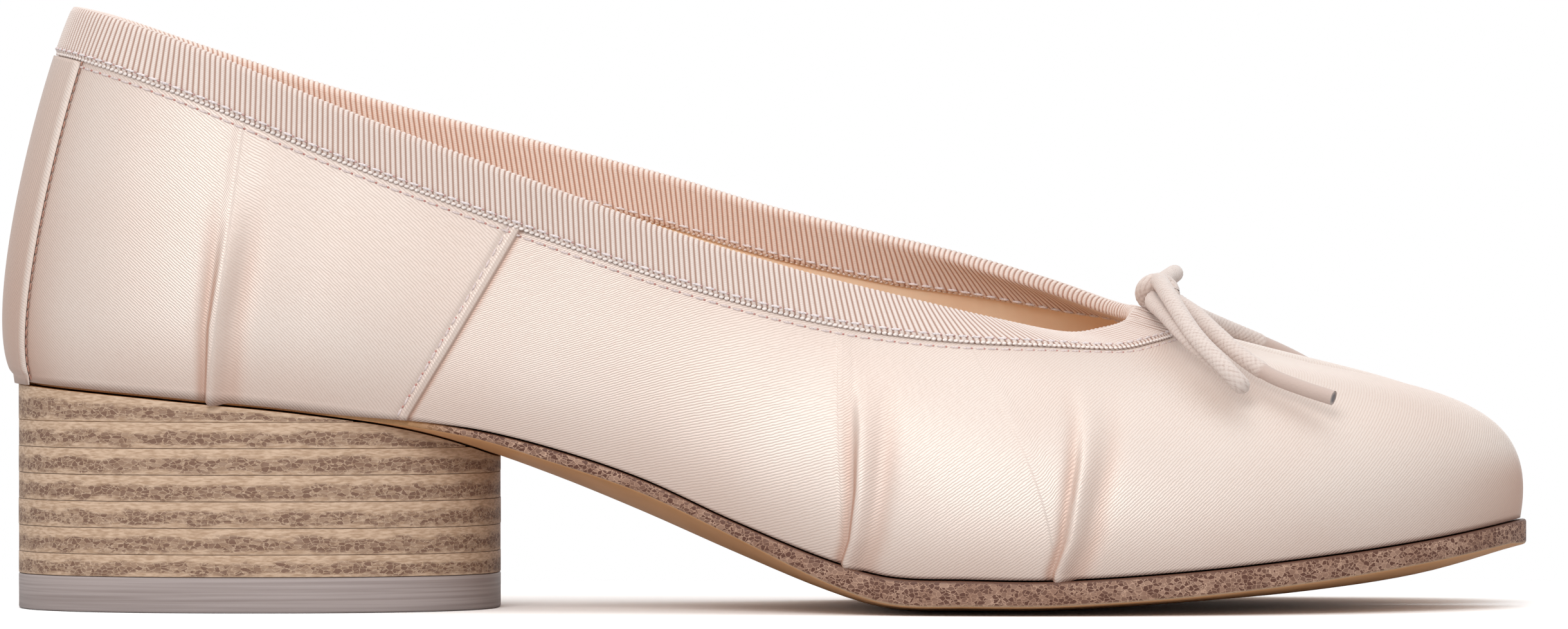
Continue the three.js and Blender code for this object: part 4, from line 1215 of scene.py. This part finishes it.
def sole_under(flat):
    low, high = (np.interp(flat[:, 0], stations, spans[:, k]) for k in (0, 1))
    share = (flat[:, 1] - (low + high) / 2) / ((high - low) / 2)
    bulge = np.maximum(0, 1 - np.abs(share) ** 2.4)
    under = sole_top(flat[:, 0]) - sole_column("edge", flat[:, 0]) - sole_column("crown", flat[:, 0]) * bulge
    return np.maximum(0, under)


sole = plate("leather_outsole", sole_outline, sole_under, lambda flat: sole_top(flat[:, 0]),
             rounding=0.5, grid_step=3.0, material=sole_finish)
settle(sole, "outsole", slot="sole_leather")

insole_outline = even_outline(footprint(insole_ledge), 1.0)
insole = plate("leather_insole", insole_outline, lambda flat: sole_top(flat[:, 0]) + JOINT_GAP,
               lambda flat: sole_top(flat[:, 0]) + JOINT_GAP + INSOLE_THICKNESS,
               rounding=0.5, grid_step=4.0, material=insole_finish)
settle(insole, "insole", slot="insole_leather")

# %% [markdown]
# ### Heel
# The heel is a stack of leather lifts on a rubber top piece. The lifts are cut from slightly different
# leather, so each stands in or out by a hair, and the upper ones are shaved to the slope of the sole.

# %% Heel lifts
HEEL_HALF_LENGTH = 39.5
HEEL_HALF_WIDTH = 29.2
HEEL_ROUNDNESS = 2.4
TOP_PIECE_HEIGHT = 5.8
LIFT_HEIGHTS = (3.6, 4.3, 4.3, 4.3, 4.3, 4.3, 6)
LIFT_SWELL = (0.0, -0.03, 0.02, -0.03, 0.0, -0.03, 0.0)  # of the outline, lift by lift
LIFT_COVER = (0.6, 0.66, 0.58, 0.74, 0.74, 0.7, 0.76)  # how much of each lift is crackled
TOP_PIECE_GAP = 0.05
LIFT_GAP = 0.03
SHAVED_EDGE = 0.12
HEEL_STEP = 0.9  # between points of an outline


def squared_off(value):
    return np.sign(value) * np.abs(value) ** (2 / HEEL_ROUNDNESS)


def heel_outline(swell):
    turn = np.linspace(0, 2 * np.pi, 1200, endpoint=False)
    outline = np.stack([HEEL_CENTRE + (HEEL_HALF_LENGTH + swell) * squared_off(np.cos(turn)),
                        (HEEL_HALF_WIDTH + swell) * squared_off(np.sin(turn))], 1)
    return even_outline(outline, HEEL_STEP)


def heel_seat(flat):
    return sole_under(flat) - JOINT_GAP


def shaved_outline(outline, bottom):
    """The part of an outline where the sole leaves room over the lift, closed along the cut."""
    keep = heel_seat(outline) > bottom + SHAVED_EDGE
    if keep.all():
        return outline
    start = np.flatnonzero(keep & ~np.roll(keep, 1))[0]
    kept = np.roll(outline, -start, 0)[: keep.sum()]
    x = np.linspace(0, HEEL_CENTRE + HEEL_HALF_LENGTH, 600)
    cut = []
    for y in np.linspace(kept[-1, 1], kept[0, 1], 40)[1:-1]:
        free = heel_seat(np.column_stack([x, np.full(600, y)])) > bottom + SHAVED_EDGE
        cut.append((x[free].max(), y))
    return even_outline(np.vstack([kept, cut]), HEEL_STEP)


def level(height):
    return lambda flat: np.full(len(flat), float(height))


def shaved_top(bottom, top):
    return lambda flat: np.clip(heel_seat(flat), bottom + 0.5 * SHAVED_EDGE, top)


# %% Heel pieces
top_piece = plate("rubber_top_piece", heel_outline(0.0), level(0), level(TOP_PIECE_HEIGHT - TOP_PIECE_GAP),
                  rounding=0.3, grid_step=5.0, material=top_piece_finish)
settle(top_piece, "heel_top_piece", slot="top_piece")
floor_height = TOP_PIECE_HEIGHT
for number, (thick, swell, cover) in enumerate(zip(LIFT_HEIGHTS, LIFT_SWELL, LIFT_COVER), start=1):
    bottom, top = floor_height, floor_height + thick - LIFT_GAP
    outline = shaved_outline(heel_outline(swell), bottom)
    lift = plate(f"leather_lift_{number}", outline, level(bottom), shaved_top(bottom, top),
                 rounding=0.1, grid_step=5.0, material=heel_finish)
    store(lift, "cover", np.full(len(lift.data.vertices), cover))
    flat = np.array([vertex.co for vertex in lift.data.vertices])[:, :2] / MM - FRAME_SHIFT[:2]
    store(lift, "shaved", heel_seat(flat) < top + 0.2)
    settle(lift, f"heel_lift_{number}", slot="heel_leather")
    floor_height += thick

# %% [markdown]
# ## Stitches
# A row of stitches is a line on the cloth with a direction away from it at each point. A node tree turns
# the line into a curve, cuts it at the pitch of the machine and lays a small rounded thread at each point,
# turned along the line and flat on the cloth. Every row of the shoe uses the same tree with its own sizes.

# %% Stitches: node tree
STITCH_SHAPE = {"Segments": 8, "Rings": 5, "Radius": 0.5}
STITCH_SIZES = ("Pitch", "Length", "Width", "Thickness", "Lean")


def make_stitch_tree():
    inputs = [(name, FLOAT) for name in STITCH_SIZES] + [("Finish", MATERIAL)]
    tree, given, result = new_node_tree("stitch_row", inputs)
    curve = add(tree, "GeometryNodeMeshToCurve", {"Mesh": given["Geometry"]}).outputs[0]
    cut = {"Curve": curve, "Length": given["Pitch"]}
    spaced = add(tree, "GeometryNodeResampleCurve", cut, mode="LENGTH").outputs[0]
    away = named(tree, "away", "FLOAT_VECTOR")
    upright = add(tree, "FunctionNodeAlignRotationToVector", {"Vector": away}, axis="Z").outputs[0]
    tangent = add(tree, "GeometryNodeInputTangent").outputs[0]
    along = {"Rotation": upright, "Vector": tangent}
    laid = add(tree, "FunctionNodeAlignRotationToVector", along, axis="X", pivot_axis="Z").outputs[0]
    lean = add(tree, "ShaderNodeCombineXYZ", {"Z": given["Lean"]}).outputs[0]
    leaning = {"Rotation": laid, "Rotate By": lean}
    turned = add(tree, "FunctionNodeRotateRotation", leaning, rotation_space="LOCAL").outputs[0]
    sides = dict(zip("XYZ", (given["Length"], given["Width"], given["Thickness"])))
    scale = add(tree, "ShaderNodeCombineXYZ", sides).outputs[0]
    thread = add(tree, "GeometryNodeMeshUVSphere", STITCH_SHAPE).outputs[0]
    copies = {"Points": spaced, "Instance": thread, "Rotation": turned, "Scale": scale}
    rows = add(tree, "GeometryNodeInstanceOnPoints", copies).outputs[0]
    plain = add(tree, "GeometryNodeRealizeInstances", {"Geometry": rows}).outputs[0]
    smooth = add(tree, "GeometryNodeSetShadeSmooth", {"Geometry": plain}).outputs[0]
    finish_tree(tree, smooth, given["Finish"], result)
    return tree


stitch_tree = make_stitch_tree()


# %% Stitches: rows, in millimetres
ROW_INSET = 0.95  # between the lower edge of the ribbon and the rows on it and below it
SELVEDGE_INSET = 0.25
THREAD_LIFT = 0.02
STITCH_SHARE = 0.82  # of the pitch
STITCH = {"width": 0.46, "thickness": 0.4, "lean": 0.06}
# sizes of the dots of painted shade at the needle holes
HOLE_SHADE_DOT = {"length": 0.5, "width": 0.36, "thickness": 0.3}
BEAD = {"pitch": 0.9, "length": 0.9, "width": 0.6, "thickness": 0.4, "lean": 0.4}
# a nearly continuous brown thread that paints the shadow line along the edges of the back strip
STRIP_SHADOW_LINE = {"pitch": 1.5, "length": 1.45, "width": 0.26, "thickness": 0.26}
SEAM_SPAN = (0.02, 0.86)  # up the wall
SEAM_POINTS = 120


def started_later(points, away, distance):
    """The same line without its first part."""
    gone = run_along(points)
    first = np.searchsorted(gone, distance)
    start = [np.interp(distance, gone, points[:, axis]) for axis in range(3)]
    return np.vstack([[start], points[first:]]), away[first - 1:]


def stitch_row(name, points, away, finish, slot, pitch, length, width, thickness, lean=0.0):
    made = piece_from(name, points, [], [finish])
    made.data.edges.add(len(points) - 1)
    pairs = np.stack([np.arange(len(points) - 1), np.arange(1, len(points))], 1)
    made.data.edges.foreach_set("vertices", pairs.ravel().astype(np.int32))
    store(made, "away", away)
    apply_tree(made, stitch_tree, Pitch=pitch * MM, Length=length * MM, Width=width * MM,
               Thickness=thickness * MM, Lean=lean, Finish=finish)
    faces_each = STITCH_SHAPE["Segments"] * STITCH_SHAPE["Rings"]
    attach(made, "root")
    print(name, "has", len(made.data.polygons) // faces_each, "stitches")


def holed_row(name, points, away, thread, hole_shade, slot, pitch):
    """Stitches with dots of painted shade between them, where the needle went through."""
    stitch_row(f"stitches_{name}", points, away, thread, slot, pitch, STITCH_SHARE * pitch, **STITCH)
    points, away = started_later(points, away, 0.5 * pitch)
    stitch_row(f"hole_shade_dots_{name}", points, away, hole_shade, slot, pitch, **HOLE_SHADE_DOT)


def wall_row(distance, lift, inside=False):
    place, v = below_topline(distance)
    away = upper_normal(place, v) * (-1 if inside else 1)
    return on_wall(distance, lift, inside)[::COLUMNS_PER_RIB], away[::COLUMNS_PER_RIB]


def satin_row(name, place, v, pitch):
    points, away = satin_face(place, v, THREAD_LIFT), upper_normal(place, v)
    holed_row(name, points, away, threads["pale"], threads["hole_shade_rose"], "satin", pitch)


for name, inside in (("outside", False), ("inside", True)):
    points, away = wall_row(RIBBON_WIDTH - ROW_INSET, TAPE_SKIN + 0.08, inside)
    holed_row(f"ribbon_{name}", points, away, threads["lilac"], threads["hole_shade_plum"], "ribbon", 2.2)
    points, away = wall_row(RIBBON_WIDTH - SELVEDGE_INSET, 0.2, inside)
    stitch_row(f"ribbon_selvedge_{name}", points, away, threads["selvedge"], "ribbon", **BEAD)

satin_row("below_ribbon", *below_topline(RIBBON_WIDTH + ROW_INSET)[:, ::COLUMNS_PER_RIB], 2.1)

for name, seam, side in (("outer", OUTER_SEAM, -1), ("inner", INNER_SEAM, 1)):
    v = np.linspace(*SEAM_SPAN, SEAM_POINTS)
    speed = np.linalg.norm(upper_slopes(np.full(SEAM_POINTS, float(seam)), v)[0], axis=-1)
    satin_row(f"seam_{name}", seam + side * SEAM_ROW / speed, v, 2.07)

# painted shadow: a brown line along each edge of the back strip
for name, side in (("outer", 1), ("inner", -1)):
    place, v = side * (strip_half + 0.012), strip_top[0] * share_up
    points, away = satin_face(place, v, 0.2), upper_normal(place, v)
    stitch_row(f"strip_edge_shadow_{name}", points, away, threads["edge_shadow_brown"], "satin", **STRIP_SHADOW_LINE)

# %% [markdown]
# ## Floor and light
# The shoe stands on a white sweep under large soft lamps. The lamp over the camera shapes the satin, the one
# above opens the top, one behind lights the inner side, and a white surrounding fills the rest. The sweep
# fades into that white a little way from the shoe, so only a soft shadow is left where sole and heel touch
# the floor.

# %% Floor and light
FLOOR_HALF = 4.0
FLOOR_HEIGHT = -0.00005
SKY_LOW = 0.52  # light of the white surrounding at the horizon and overhead
SKY_HIGH = 1.1
floor_mesh = bpy.data.meshes.new("floor")
corners = [(-1, -1), (1, -1), (1, 1), (-1, 1)]
places = [(x * FLOOR_HALF, y * FLOOR_HALF, FLOOR_HEIGHT) for x, y in corners]
floor_mesh.from_pydata(places, [], [(0, 1, 2, 3)])
floor_finish, tree, shader = new_finish("white_sweep", 0.9)
seen = add(tree, "ShaderNodeLightPath").outputs["Is Camera Ray"]
colour(tree, shader, mix_colours(tree, seen, (0.5, 0.5, 0.5), (1.3, 1.3, 1.3)))
parts = add(tree, "ShaderNodeSeparateXYZ", {"Vector": object_place(tree)}).outputs
near_across = ramp(tree, size_of(tree, parts["Y"]), 0.04, 0.12, 1.0, 0.0)
near_along = ramp(tree, size_of(tree, parts["X"]), 0.125, 0.2, 1.0, 0.0)
near = times(tree, near_across, near_along)
hidden = times(tree, seen, minus(tree, 1.0, near))
tree.links.new(minus(tree, 1.0, hidden), shader.inputs["Alpha"])
floor_mesh.materials.append(floor_finish)
floor = bpy.data.objects.new("floor", floor_mesh)
bpy.context.scene.collection.objects.link(floor)

world = bpy.data.worlds.new("white_surrounding")
world.use_nodes = True
tree = world.node_tree
direction = add(tree, "ShaderNodeTexCoord").outputs["Generated"]
height = add(tree, "ShaderNodeSeparateXYZ", {"Vector": direction}).outputs["Z"]
dome = add(tree, "ShaderNodeMapRange", {"Value": height, "To Min": SKY_LOW, "To Max": SKY_HIGH}).outputs[0]
seen = add(tree, "ShaderNodeLightPath").outputs["Is Camera Ray"]
strength = math_node(tree, "MAXIMUM", dome, seen)
tree.nodes["Background"].inputs["Color"].default_value = (1, 1, 1, 1)
tree.links.new(strength, tree.nodes["Background"].inputs["Strength"])
bpy.context.scene.world = world

LAMP_AIM = Vector((0.0, 0.0, 0.05))
LAMPS = [
    # name, place, size, power
    ("lamp_front", (-0.2, -1.0, 0.7), 0.5, 5.5),
    ("lamp_above", (-0.1, 0.0, 0.9), 0.5, 0.8),
    ("lamp_behind", (0.3, 1.1, 0.3), 0.6, 1.2),
]
for name, place, size, power in LAMPS:
    data = bpy.data.lights.new(name, "AREA")
    data.size, data.energy = size, power
    made = bpy.data.objects.new(name, data)
    made.location = place
    made.rotation_euler = (LAMP_AIM - Vector(place)).to_track_quat("-Z", "Y").to_euler()
    bpy.context.scene.collection.objects.link(made)
bpy.context.scene.view_settings.view_transform = "Standard"
print(len(LAMPS), "lamps")

# %% [markdown]
# ## Last step
# The scene is brought up to date.

# %% Bring the scene up to date
bpy.context.view_layer.update()
